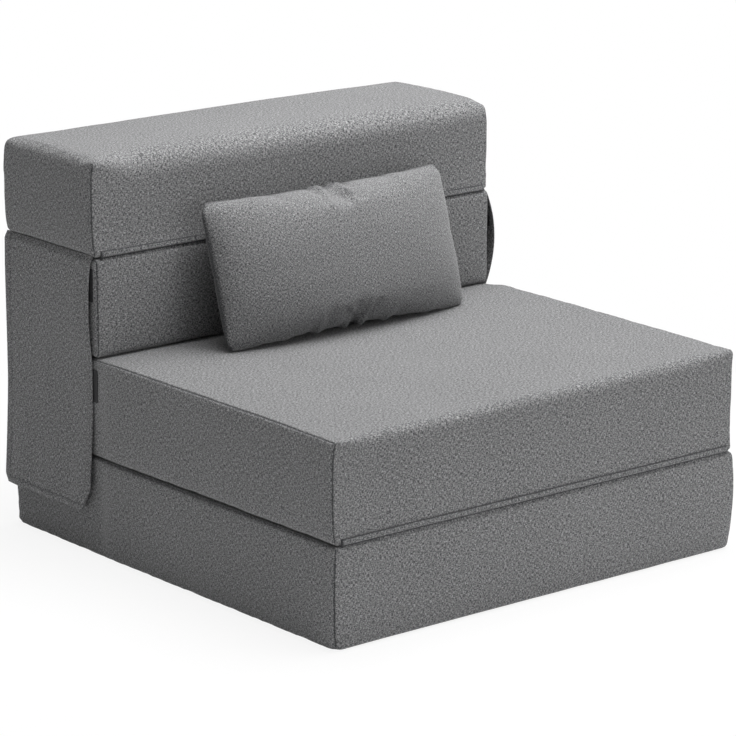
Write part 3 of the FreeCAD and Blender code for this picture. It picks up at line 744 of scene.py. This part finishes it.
# fold hinges: one strip of cloth over each fold line, with a hemmed band above it
folds = {
    "proud": 0.0019,
    "sunk": 0.0008,
    "band": 0.0104,
    "rows": (0.0098, 0.0088, 0.0070, 0.0050, 0.0038, 0.0032, 0.0026, 0.0018, 0.0003),
    "groove": 0.0030,            # how deep the cloth dips into the fold
    "tuck": 0.0060,
    "edge": 0.0040,              # the band turns in over the block's edge below this
    "stitchLine": 0.0036,
    "stitch": 0.0040,
    "turn": 0.0011,              # a span either side of the fold line
    "halfLength": 0.3700,
    "stations": 170,
    "sway": 0.0005,
}
foldPlaces = {
    # the fold's line (y, z), which way its outer face looks, and the bodies under and over it
    "front_hinge": {"line": (chair["front"], 0.1521), "faces": -1, "bodies": ("base", "seat")},
    "rear_hinge": {"line": (chair["rear"], 0.3041), "faces": 1, "bodies": ("seat", "back_middle")},
    "back_hinge": {
        "line": (chair["backFront"], 0.4561), "faces": -1, "bodies": ("back_middle", "back_top"),
    },
}


def makeFold(name, fold):
    (lineY, lineZ), facing, (lower, upper) = fold["line"], fold["faces"], fold["bodies"]
    block = blocks[upper]
    shape = block["shape"]
    out = block["bulge"][0 if facing < 0 else 1] / 1000

    def depthAt(high):
        # the band lies on the block's full face, and turns in over the edge at the fold
        t = (lineZ + high - shape["centre"][2]) / shape["half"][2]
        return -out * float(fullness(block, t)) * min(1, max(0, high / folds["edge"]))

    outer = []
    for high in (folds["band"], *folds["rows"]):
        rise = float(ease(np.array(high), 0.0004, 0.0030))
        step = folds["proud"] * (0.5 if high == folds["band"] else 1)
        depth = depthAt(high) * rise + folds["groove"] * (1 - rise) + (0.0004 - step) * rise
        outer.append((depth, high))
    outer += [(folds["groove"], -0.0003), (folds["groove"] * 0.9, -0.0016)]
    outer += [(0.0018, -0.0035), (0.0030, -folds["tuck"])]
    inner = []
    for depth, high in reversed(outer):
        under = depthAt(high) + folds["sunk"] if high > folds["edge"] else depth + 0.0014
        inner.append((max(under, depth + 0.0012), high * 0.985))
    ring = outer + inner
    xs = np.linspace(-folds["halfLength"], folds["halfLength"], folds["stations"])
    probe = np.stack([xs, xs * 0 + lineY, xs * 0 + lineZ], axis=1)
    sway = ripple(probe, 0.055, 51) * folds["sway"] + ripple(probe, 0.012, 52) * 0.00018
    points, seam = [], []
    for i, x in enumerate(xs):
        tip = min(1, (folds["halfLength"] - abs(x)) / 0.004)
        for depth, high in ring:
            share = max(0, high / folds["band"])
            depth = depth + (1 - tip) * 0.0006 + abs(sway[i]) * share * 0.3
            points.append((x, lineY - facing * depth, lineZ + high + sway[i] * share))
            # painted shade: the seam mark darkens the strip in the fold's crease, along its top
            # edge under the block and at its two ends
            dark = tip < 0.5 or abs(high) < 0.0012 or high > 0.0095
            seam.append(0.9 if dark else 0)
    faces = tubeFaces(len(xs), len(ring), facing < 0)
    marks = {"seam": seam, "wear": np.zeros(len(points))}
    strip = addPiece(f"{name}_cloth", points, faces, foldCloth, None, marks)
    line = folds["stitchLine"]
    threadY = lineY - facing * (depthAt(line) + 0.0008 - folds["proud"])
    run = [(x, threadY, lineZ + line + sway[i] * 0.3) for i, x in enumerate(xs)]
    made, sides = stitchRuns([run], folds["stitch"])
    stitching = addPiece(f"{name}_stitching", made, sides, blackThread, upper)
    start = (0, lineY, lineZ - folds["turn"])
    end = (0, lineY, lineZ + folds["turn"])
    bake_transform(strip)
    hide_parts(f"{name}_lower", f"{name}_upper")


for name, fold in foldPlaces.items():
    makeFold(name, fold)
print("fold hinges made")


# side flaps, with their hems and stitching
flaps = {
    "front": 0.1760,
    "rear": 0.3995,
    "top": 0.4590,
    "bottom": 0.0675,
    "flatHeight": 0.400,
    "beadX": 0.3772,
    "panelX": 0.38235,           # the inner face
    "shoulder": 0.0120,
    "turned": 0.4430,            # a height a little below the flap's top
    "skirtTop": 0.2320,
    "flare": 0.0092,
    "wave": 0.0026,
    "bow": {-1: 0.0050, 1: 0.0190},      # how far the front edge stands off the block
    "bowFoot": 0.300,
    "bowHeight": 0.152,
    "hingeY": 0.287,
    "cloth": 0.0014,
    "hem": 0.0024,
    "hemWidth": 0.0140,
    "stitchLines": (0.0115, 0.0045),     # their distances from the edge
    "stitch": 0.0040,
    "columns": 74,
    "rows": 120,
}
flapWidth = flaps["rear"] - flaps["front"]


def flapFace(side, across, down):
    # a point on the flap's inner face and its thickness; across and down run from 0 to 1
    high = flaps["top"] + (flaps["bottom"] - flaps["top"]) * down
    fall = flaps["top"] - high
    bend = ease(fall, 0.0, flaps["shoulder"])
    x = flaps["beadX"] + (flaps["panelX"] - flaps["beadX"]) * bend ** 0.8
    loose = np.clip((flaps["skirtTop"] - high) / (flaps["skirtTop"] - flaps["bottom"]), 0, 1)
    x = x + flaps["flare"] * loose ** 1.5
    y = flaps["front"] + flapWidth * across
    probe = np.stack([across * flapWidth, high * 0.16, across * 0 + side * 3.0], axis=1)
    waves = np.sin((across * 2.9 + 0.22 * np.sin(down * 5 + side)) * 2 * math.pi) * 0.62
    waves = waves + ripple(probe, 0.034, 71) * 0.85
    x = x + (waves + 1.0) * 0.5 * flaps["wave"] * loose ** 0.8
    level = np.clip((high - flaps["bowFoot"]) / flaps["bowHeight"], 0, 1)
    edgeBow = flaps["bow"][side] * np.sin(level * math.pi) ** 0.8
    x = x + edgeBow * (1 - ease(across, 0.06, 0.72))
    light = np.clip((flaps["top"] - 0.022 - high) / 0.03, 0, 1) * (1 - loose)
    x = x + light * 0.0004 * (ripple(probe, 0.022, 72) + 1)
    # rounded lower corners and slightly uneven upright edges
    y = y + (1 - across) ** 2 * ease(down, 0.86, 1.0) ** 2 * 0.017
    y = y - across ** 2 * ease(down, 0.95, 1.0) ** 2 * 0.008
    y = y + np.sin(down * 9) * 0.0006 * np.abs(across - 0.5) * 2
    edges = [y - flaps["front"], flaps["rear"] - y, high - flaps["bottom"] + 0.003]
    hem = 1 - ease(np.minimum.reduce(edges), flaps["hemWidth"] - 0.0015, flaps["hemWidth"])
    thick = flaps["cloth"] + (flaps["hem"] - flaps["cloth"]) * hem
    rims = [across * flapWidth, (1 - across) * flapWidth, (1 - down) * 0.39]
    thick = thick * (0.45 + 0.55 * ease(np.minimum.reduce(rims), 0, 0.0014))
    return np.stack([side * x, y, high], axis=1), thick, hem


def makeFlap(label, side):
    hemShare = flaps["hemWidth"] / flapWidth
    nearHem = [0.004, hemShare, hemShare - 0.008]
    nearHem += [1 - share for share in nearHem]
    acrossLines = np.unique([*np.linspace(0, 1, flaps["columns"]), *nearHem])
    downLines = [*np.linspace(0, 1, flaps["rows"]), 0.972, 0.966, 0.998, *np.linspace(0, 0.06, 14)]
    downLines = np.unique(downLines)
    columns, rows = len(acrossLines), len(downLines)
    across, down = [grid.ravel() for grid in np.meshgrid(acrossLines, downLines)]
    inner, thick, hem = flapFace(side, across, down)
    grid = inner.reshape(rows, columns, 3)
    normal = np.cross(np.gradient(grid, axis=1), np.gradient(grid, axis=0)).reshape(-1, 3)
    normal /= np.linalg.norm(normal, axis=1)[:, None]
    normal *= np.sign(normal[:, :1]) * side
    points = np.concatenate([inner, inner + normal * thick[:, None]])
    count = rows * columns
    faces = []
    for i in range(rows - 1):
        for j in range(columns - 1):
            a = i * columns + j
            quad = (a, a + 1, a + columns + 1, a + columns)
            faces.append(quad)
            faces.append(tuple(index + count for index in quad[::-1]))
    border = [(0, j) for j in range(columns)] + [(i, columns - 1) for i in range(1, rows)]
    border += [(rows - 1, j) for j in range(columns - 2, -1, -1)]
    border += [(i, 0) for i in range(rows - 2, 0, -1)]
    border = [i * columns + j for i, j in border]
    for a, b in zip(border, border[1:] + border[:1]):
        faces.append((b, a, a + count, b + count))
    if side < 0:
        faces = [face[::-1] for face in faces]
    seamLine = np.exp(-((hem - 0.5) / 0.35) ** 2)
    marks = {"seam": np.concatenate([hem * 0.1, seamLine * 0.55]), "wear": np.zeros(2 * count)}
    flap = addPiece(f"{label}_cloth", points, faces, flapCloth, None, marks)

    def run(acrossPath, downPath):
        spots, thicks, _ = flapFace(side, acrossPath, downPath)
        spots[:, 0] += side * (thicks + 0.0001)
        return spots

    steps = np.linspace(0.05, 0.955, 90)
    inset, second = [line / flapWidth for line in flaps["stitchLines"]]
    level = np.linspace(inset, 1 - inset, 60)
    runs = [run(steps * 0 + share, steps) for share in (inset, second, 1 - inset, 1 - second)]
    runs += [run(level, level * 0 + share) for share in (0.9745, 0.060)]
    made, sides = stitchRuns(runs, flaps["stitch"], 0.00040)
    stitching = addPiece(f"{label}_stitching", made, sides, greyThread, label)
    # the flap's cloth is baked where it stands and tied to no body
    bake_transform(flap)
    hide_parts(label, f"{label}_seam_strip")


# closing patches: hooks inside the flaps, loops on the blocks
patches = {
    "round": 3,                  # millimetres
    "halfThick": 0.0004,
    "loopX": 0.3810,
    "wrap": 0.0085,              # the loop tape runs on towards the block's front corner
    "wrapRound": 0.015,
    "corner": {"upper": chair["backFront"], "lower": -1.0},      # the block's front corner
    "stitchInset": 0.0025,
    "stitch": 0.0034,
}


def makePatch(node, side, body, finish, corner=None):
    # a loop patch follows its block's front corner; a hook patch has none
    isLoop = corner is not None
    shape = shapeOf(node, [patches["round"]] * 4, 0.3)
    centre, half = shape["centre"], shape["half"]
    half[0] = patches["halfThick"]
    centre[0] = side * patches["loopX"]
    if isLoop:
        centre[1] -= patches["wrap"]
        half[1] += patches["wrap"]

    def bend(points):
        if not isLoop:               # it lies on the flap's inner face
            across = (points[:, 1] - flaps["front"]) / flapWidth
            down = (flaps["top"] - points[:, 2]) / (flaps["top"] - flaps["bottom"])
            inner = flapFace(side, across, down)[0][:, 0]
            points[:, 0] += inner - side * (patches["loopX"] + patches["halfThick"])
            return points
        turn = patches["wrapRound"]
        near = np.clip(turn - (points[:, 1] - corner), 0, 0.014)
        points[:, 0] -= side * (turn - np.sqrt(turn ** 2 - near ** 2))
        return points

    lines = [np.linspace(centre[0] - half[0], centre[0] + half[0], 4)]
    for middle, reach in zip(centre[1:], half[1:]):
        lines.append(graded(middle - reach, middle + reach, 0.006))
    points, faces = shellGrid(lines)
    points = bend(settle(points, shape)[0])
    patch = addPiece(f"{node}_tape", points, faces, finish, body)
    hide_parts(node)
    halfY, halfZ = half[1:] - patches["stitchInset"]
    face = centre[0] + side * (half[0] if isLoop else -half[0])
    ring = [(face, centre[1] + a * halfY, centre[2] + b * halfZ)
            for a, b in ((-1, -1), (1, -1), (1, 1), (-1, 1), (-1, -1))]
    dense = np.concatenate([np.linspace(ring[i], ring[i + 1], 24) for i in range(4)])
    made, sides = stitchRuns([bend(dense)], patches["stitch"], 0.0003)
    stitching = addPiece(f"{node}_stitching", made, sides, blackThread, body)
    flat = (2 * half[1], 2 * half[2])


for word, side in (("left", -1), ("right", 1)):
    makeFlap(f"{word}_flap", side)
    for level, owner in (("upper", "back_middle"), ("lower", "seat")):
        name, corner = f"{word}_{level}", patches["corner"][level]
        makePatch(f"{name}_hook", side, f"{word}_flap", hooks)
        makePatch(f"{name}_loop", side, owner, loops, corner)
print("flaps and patches made")


# the non-slip panel under the base
gripPanel = {
    "corner": 0.020,
    "cornerSteps": 9,
    "shares": (0.9995, 1.0, 0.9995, 0.9985, 0.75, 0.4),      # of the outline, edge to middle
    "heights": (0.0016, 0.0010, 0.0004, 0.0, 0.0, 0.0),
}


def makeGripPanel():
    _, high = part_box("base_grip_panel")
    corner, outline = gripPanel["corner"], []
    for cornerX, cornerY, start in ((1, 1, 0), (-1, 1, 90), (-1, -1, 180), (1, -1, 270)):
        for angle in np.radians(np.linspace(start, start + 90, gripPanel["cornerSteps"])):
            x = cornerX * (high[0] - corner) + corner * math.cos(angle)
            outline.append((x, cornerY * (high[1] - corner) + corner * math.sin(angle)))
    levels = list(zip(gripPanel["shares"], gripPanel["heights"]))
    points = [(x * shrink, y * shrink, height) for shrink, height in levels for x, y in outline]
    faces = tubeFaces(len(levels), len(outline), True)
    panel = addPiece("base_grip_cloth", points, faces, grip, "base")
    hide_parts("base_grip_panel")


makeGripPanel()
print("grip panel made")


# the lumbar cushion, blown up from two flat panels and leant on the backrest
cushion = {
    "width": 0.466,
    "height": 0.232,
    "thick": 0.116,
    "corner": 0.0072,
    "centre": (0.0165, 0.1002, 0.4134),
    "lean": 17,
    "columns": 92,
    "rows": 48,
    "fuller": (0.030, 0.110),    # how much wider and taller the cut is in the middle
    "hollow": (0.020, 0.055),    # how far the sides and the long seams still draw in
    "cloth": {
        "quality": 6, "mass": 0.25, "tension_stiffness": 14, "compression_stiffness": 14,
        "shear_stiffness": 4, "bending_stiffness": 0.35, "use_pressure": True,
        "uniform_pressure_force": 2.4,
    },
    "startShare": 0.62,          # it is blown up from this much of its thickness
    "evenFill": 0.74,            # how far the fibre evens out the hollows
    "frames": 26,
    "shrink": 0.985,             # room for the seam's ridge
    "ridge": 0.0016,
    "pucker": 0.0013,            # small gathers along the seam
    "puckerSize": 0.0135,
    "puckerReach": 0.022,
    "dent": 0.0011,              # slow unevenness of the filling
    "dentSize": 0.055,
    "zipHalfLength": 0.176,
    "zipFloor": -0.1036,
    "clear": 0.0014,             # room left above the seat and before the backrest
    "seed": 91,
}
lean = np.array(Matrix.Rotation(math.radians(-cushion["lean"]), 3, "X"))


def cushionPanels():
    # two panels of the same cut that share their outline
    columns, rows, corner = cushion["columns"], cushion["rows"], cushion["corner"]
    halfWide, halfHigh = cushion["width"] / 2, cushion["height"] / 2
    u, v = np.meshgrid(np.linspace(-1, 1, columns + 1), np.linspace(-1, 1, rows + 1))
    x, z = u * halfWide, v * halfHigh
    a, b = np.abs(x) - halfWide + corner, np.abs(z) - halfHigh + corner
    over = np.hypot(np.maximum(a, 0), np.maximum(b, 0))
    cut = (a > 0) & (b > 0) & (over > corner)
    shrink = np.where(cut, corner / np.maximum(over, 1e-9), 1)
    x = np.where(shrink < 1, np.sign(x) * (halfWide - corner + np.maximum(a, 0) * shrink), x)
    z = np.where(shrink < 1, np.sign(z) * (halfHigh - corner + np.maximum(b, 0) * shrink), z)
    wider, taller = cushion["fuller"]
    x, z = x * (1 + wider * (1 - v ** 2)), z * (1 + taller * (1 - u ** 2))
    swell = np.clip((1 - np.abs(u) ** 3.4) * (1 - np.abs(v) ** 2.6), 0, 1) ** 0.62
    thick = swell * cushion["thick"] / 2
    rim = (np.abs(u) > 0.9999) | (np.abs(v) > 0.9999)
    first = np.arange(u.size).reshape(u.shape)
    second = first.copy()
    second[~rim] = np.arange((~rim).sum()) + u.size
    faces = []
    for i in range(rows):
        for j in range(columns):
            k, n = j + 1, i + 1
            faces.append((first[i, j], first[i, k], first[n, k], first[n, j]))
            faces.append((second[i, j], second[n, j], second[n, k], second[i, k]))

    def both(grid):              # the front panel's values, then the rear panel's own
        return np.concatenate([grid.ravel(), grid[~rim]])

    points = np.stack([both(x), both(thick), both(z)], axis=1)
    points[:u.size, 1] *= -1
    edge = np.arange(len(points)) < u.size
    edge[:u.size] = rim.ravel()
    inset = both(np.minimum((1 - np.abs(u)) * halfWide, (1 - np.abs(v)) * halfHigh))
    cell = [both(grid) for grid in np.indices(u.shape)]
    return points, faces, edge, inset, cell


def trimOutline(points, cell):
    # the seam is let out at mid side until the outline runs nearly straight between corners
    columns, rows = cushion["columns"], cushion["rows"]
    row, column = cell
    seam = points[:(columns + 1) * (rows + 1)].reshape(rows + 1, columns + 1, 3)
    u, v = np.linspace(-1, 1, columns + 1), np.linspace(-1, 1, rows + 1)
    hollowX, hollowZ = cushion["hollow"]
    aimZ = cushion["height"] / 2 * (1 - hollowZ * (1 - u ** 4))
    aimX = cushion["width"] / 2 * (1 - hollowX * (1 - v ** 4))
    nearX, nearZ = ease(1 - np.abs(u), 0.02, 0.10), ease(1 - np.abs(v), 0.04, 0.16)
    above, below = [1 + (aimZ / np.abs(edge[:, 2]) - 1) * nearX for edge in (seam[-1], seam[0])]
    sides = seam[:, -1], seam[:, 0]
    right, left = [1 + (aimX / np.abs(edge[:, 0]) - 1) * nearZ for edge in sides]
    points = points.copy()
    points[:, 2] *= np.where(points[:, 2] > 0, above[column], below[column])
    points[:, 0] *= np.where(points[:, 0] > 0, right[row], left[row])
    return points


def inflate(points, faces):
    points = points * (1, cushion["startShare"], 1)
    piece = addPiece("cushion_blank", points, faces, cushionCloth)
    cloth = piece.modifiers.new("Cloth", "CLOTH")
    for key, value in cushion["cloth"].items():
        setattr(cloth.settings, key, value)
    cloth.settings.effector_weights.gravity = 0
    cloth.point_cache.frame_start = 1
    cloth.point_cache.frame_end = cushion["frames"]
    cloth.collision_settings.use_collision = False
    for number in range(1, cushion["frames"] + 1):
        scene.frame_set(number)
    shown = piece.evaluated_get(bpy.context.evaluated_depsgraph_get())
    blown = np.zeros(len(points) * 3, np.float32)
    shown.data.vertices.foreach_get("co", blown)
    scene.frame_set(1)
    bpy.data.objects.remove(piece)
    return blown.reshape(-1, 3).astype(float)


def leanBack(points):
    return points @ lean.T + np.array(cushion["centre"])


def seatCushion(world):
    # flat where it rests on the seat and on the backrest
    seatTop = chair["seatTop"] + topSwell(blocks["seat"], world[:, 0], world[:, 1])
    world[:, 2] = np.maximum(world[:, 2], seatTop + cushion["clear"])
    backFront = np.full(len(world), chair["backFront"])
    for name in ("back_middle", "back_top"):
        shape, out = blocks[name]["shape"], blocks[name]["bulge"][0] / 1000
        t = (world[:, 2] - shape["centre"][2]) / shape["half"][2]
        backFront -= (np.abs(t) < 1) * out * fullness(blocks[name], t)
    foldBand = ease(0.0160 - np.abs(world[:, 2] - 0.4500), 0, 0.006)
    backFront -= 0.0030 * foldBand
    world[:, 1] = np.minimum(world[:, 1], backFront - cushion["clear"])
    return world


def makeCushion():
    points, faces, edge, inset, cell = cushionPanels()
    plump = points[:, 1].copy()
    points = inflate(points, faces)
    size = points.max(0) - points.min(0)
    print("cushion after the cloth:", np.round(size, 4).tolist())
    points = points - (points.max(0) + points.min(0)) / 2
    aim = np.array((cushion["width"], cushion["thick"], cushion["height"])) * cushion["shrink"]
    points = trimOutline(points * aim / size, cell)
    points[:, 1] += (plump - points[:, 1]) * cushion["evenFill"]
    filling = points.copy()
    # the seam stands as a thin ridge, gathered in small puckers
    flat = points * (1, 0, 1)
    out = flat / np.maximum(np.linalg.norm(flat, axis=1), 1e-6)[:, None]
    points += out * (edge * cushion["ridge"])[:, None]
    seed = cushion["seed"]
    pull = ripple(points, cushion["puckerSize"], seed) * (inset > 0.002)
    pull *= np.exp(-(inset / cushion["puckerReach"]) ** 2)
    slow = ripple(points * (1, 0.6, 1.5), cushion["dentSize"], seed + 1) * ease(inset, 0, 0.03)
    depth = np.abs(pull * cushion["pucker"] + slow * cushion["dent"])
    points[:, 1] -= np.sign(points[:, 1]) * depth * (np.abs(points[:, 1]) > 0.002)
    # room for the zip in the lower seam
    x, y, z = np.abs(points[:, 0]), np.abs(points[:, 1]), points[:, 2]
    zipped = ease(cushion["zipHalfLength"] - x, 0, 0.006) * (z < -0.08)
    floor = cushion["zipFloor"] - 0.0045 * ease(y, 0.0042, 0.0062)
    points[:, 2] = np.where((zipped > 0.5) & (z < floor) & (y < 0.0075), floor, z)
    world = seatCushion(leanBack(points))
    seam = np.exp(-(inset / 0.0022) ** 2)
    marks = {"seam": seam * 0.8, "wear": seam * 0}
    cover = addPiece("cushion_cover_cloth", world, faces, cushionCloth, None, marks)
    smooth = cover.modifiers.new("Subdivision", "SUBSURF")
    smooth.levels = smooth.render_levels = 1
    shown = cover.evaluated_get(bpy.context.evaluated_depsgraph_get())
    finer = bpy.data.meshes.new_from_object(shown)
    cover.modifiers.clear()
    cover.data = finer
    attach(cover, "pillow")
    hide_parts("pillow_cover")
    inner = filling * (0.90, 0.84, 0.88)
    inner += ripple(filling, 0.03, seed + 4)[:, None] * 0.0015 * np.sign(filling)
    fill = addPiece("cushion_fibre", leanBack(inner), faces, fibre, "pillow")
    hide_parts("pillow_filling")


makeCushion()
zipWays = ((1, 0, 0), lean @ (0, 0, -1.0), lean @ (0, 1.0, 0))
makeZip("pillow", "pillow_slider", zipWays)
print("cushion made")


# floor, light and camera
studio = {
    "world": 0.190,
    "lamps": {
        # place, aim, size and power in watts
        "top_light": ((0.5, -0.2, 2.7), (0.05, 0.0, 0.3), (2.4, 2.4), 114.0),
        "front_light": ((1.2, -3.6, 1.3), (0, 0, 0.3), (2.2, 1.8), 16.2),
        "side_light": ((-3.4, -1.0, 1.2), (0, 0, 0.3), (1.8, 1.8), 0.5),
    },
    "eye": (-3.4884, -4.2864, 1.7419),
    "yaw": 39.13,
    "pitch": 14.99,
    "sensor": 36,                # millimetres
    "focal": 3799.9,             # in pixels of a picture 736 wide
    "picture": 736,
}


def seenDirectly(finish):
    # 1 for what the camera, gloss and glass see, 0 for light on its way
    seen = finish.node("ShaderNodeLightPath", out="Is Camera Ray")
    for ray in ("Is Glossy Ray", "Is Transmission Ray"):
        seen = seen.largest(finish.node("ShaderNodeLightPath", out=ray))
    return seen


def showWhite(finish, lit, white, share, output):
    mixed = finish.node("ShaderNodeMixShader", sockets={0: share, 1: lit, 2: white})
    finish.join(mixed, finish.tree.nodes[output].inputs[0])


plainWhite = (1, 1, 1, 1)
world = bpy.data.worlds.new("studio")
scene.world = world
world.use_nodes = True
sky = Finish("sky", tree=world.node_tree)
dim = sky.node("ShaderNodeBackground", sockets={"Color": plainWhite, "Strength": studio["world"]})
white = sky.node("ShaderNodeBackground", sockets={"Color": plainWhite, "Strength": 1.0})
showWhite(sky, dim, white, seenDirectly(sky), "World Output")

ground = Finish("floor", Roughness=0.9)
speck = ground.clouds(3.0, 2.0)
ground.feed("Base Color", ground.blend(speck, (0.90, 0.90, 0.90), (0.93, 0.93, 0.93)))
x, y, _ = ground.parts(ground.place())
far = (x * x + y * y).rise(0.25, 1.3)
white = ground.node("ShaderNodeEmission", sockets={"Color": plainWhite, "Strength": 1.0})
lit = Value(ground, ground.shader.outputs[0])
showWhite(ground, lit, white, seenDirectly(ground) * (far * 0.12 + 0.88), "Material Output")
corners = [(-9, -9, -0.0004), (9, -9, -0.0004), (9, 9, -0.0004), (-9, 9, -0.0004)]
floor = addPiece("floor", corners, [(0, 1, 2, 3)], ground.material)


def addLamp(name, place, target, size, power):
    lamp = bpy.data.lights.new(name, "AREA")
    lamp.shape = "RECTANGLE"
    lamp.size, lamp.size_y = size
    lamp.energy = power
    holder = bpy.data.objects.new(name, lamp)
    scene.collection.objects.link(holder)
    holder.location = place
    holder.rotation_mode = "QUATERNION"
    holder.rotation_quaternion = (Vector(target) - Vector(place)).to_track_quat("-Z", "Y")


for name, lamp in studio["lamps"].items():
    addLamp(name, *lamp)

camera = bpy.data.cameras.new("camera")
camera.sensor_width = studio["sensor"]
camera.lens = studio["focal"] / studio["picture"] * studio["sensor"]
camera.clip_start, camera.clip_end = 0.1, 60
eye = bpy.data.objects.new("camera", camera)
scene.collection.objects.link(eye)
yaw, pitch = math.radians(studio["yaw"]), math.radians(studio["pitch"])
eye.location = studio["eye"]
forward = (math.sin(yaw) * math.cos(pitch), math.cos(yaw) * math.cos(pitch), -math.sin(pitch))
eye.rotation_mode = "QUATERNION"
eye.rotation_quaternion = Vector(forward).to_track_quat("-Z", "Y")
scene.camera = eye
scene.view_settings.view_transform = "Standard"
print("studio made")
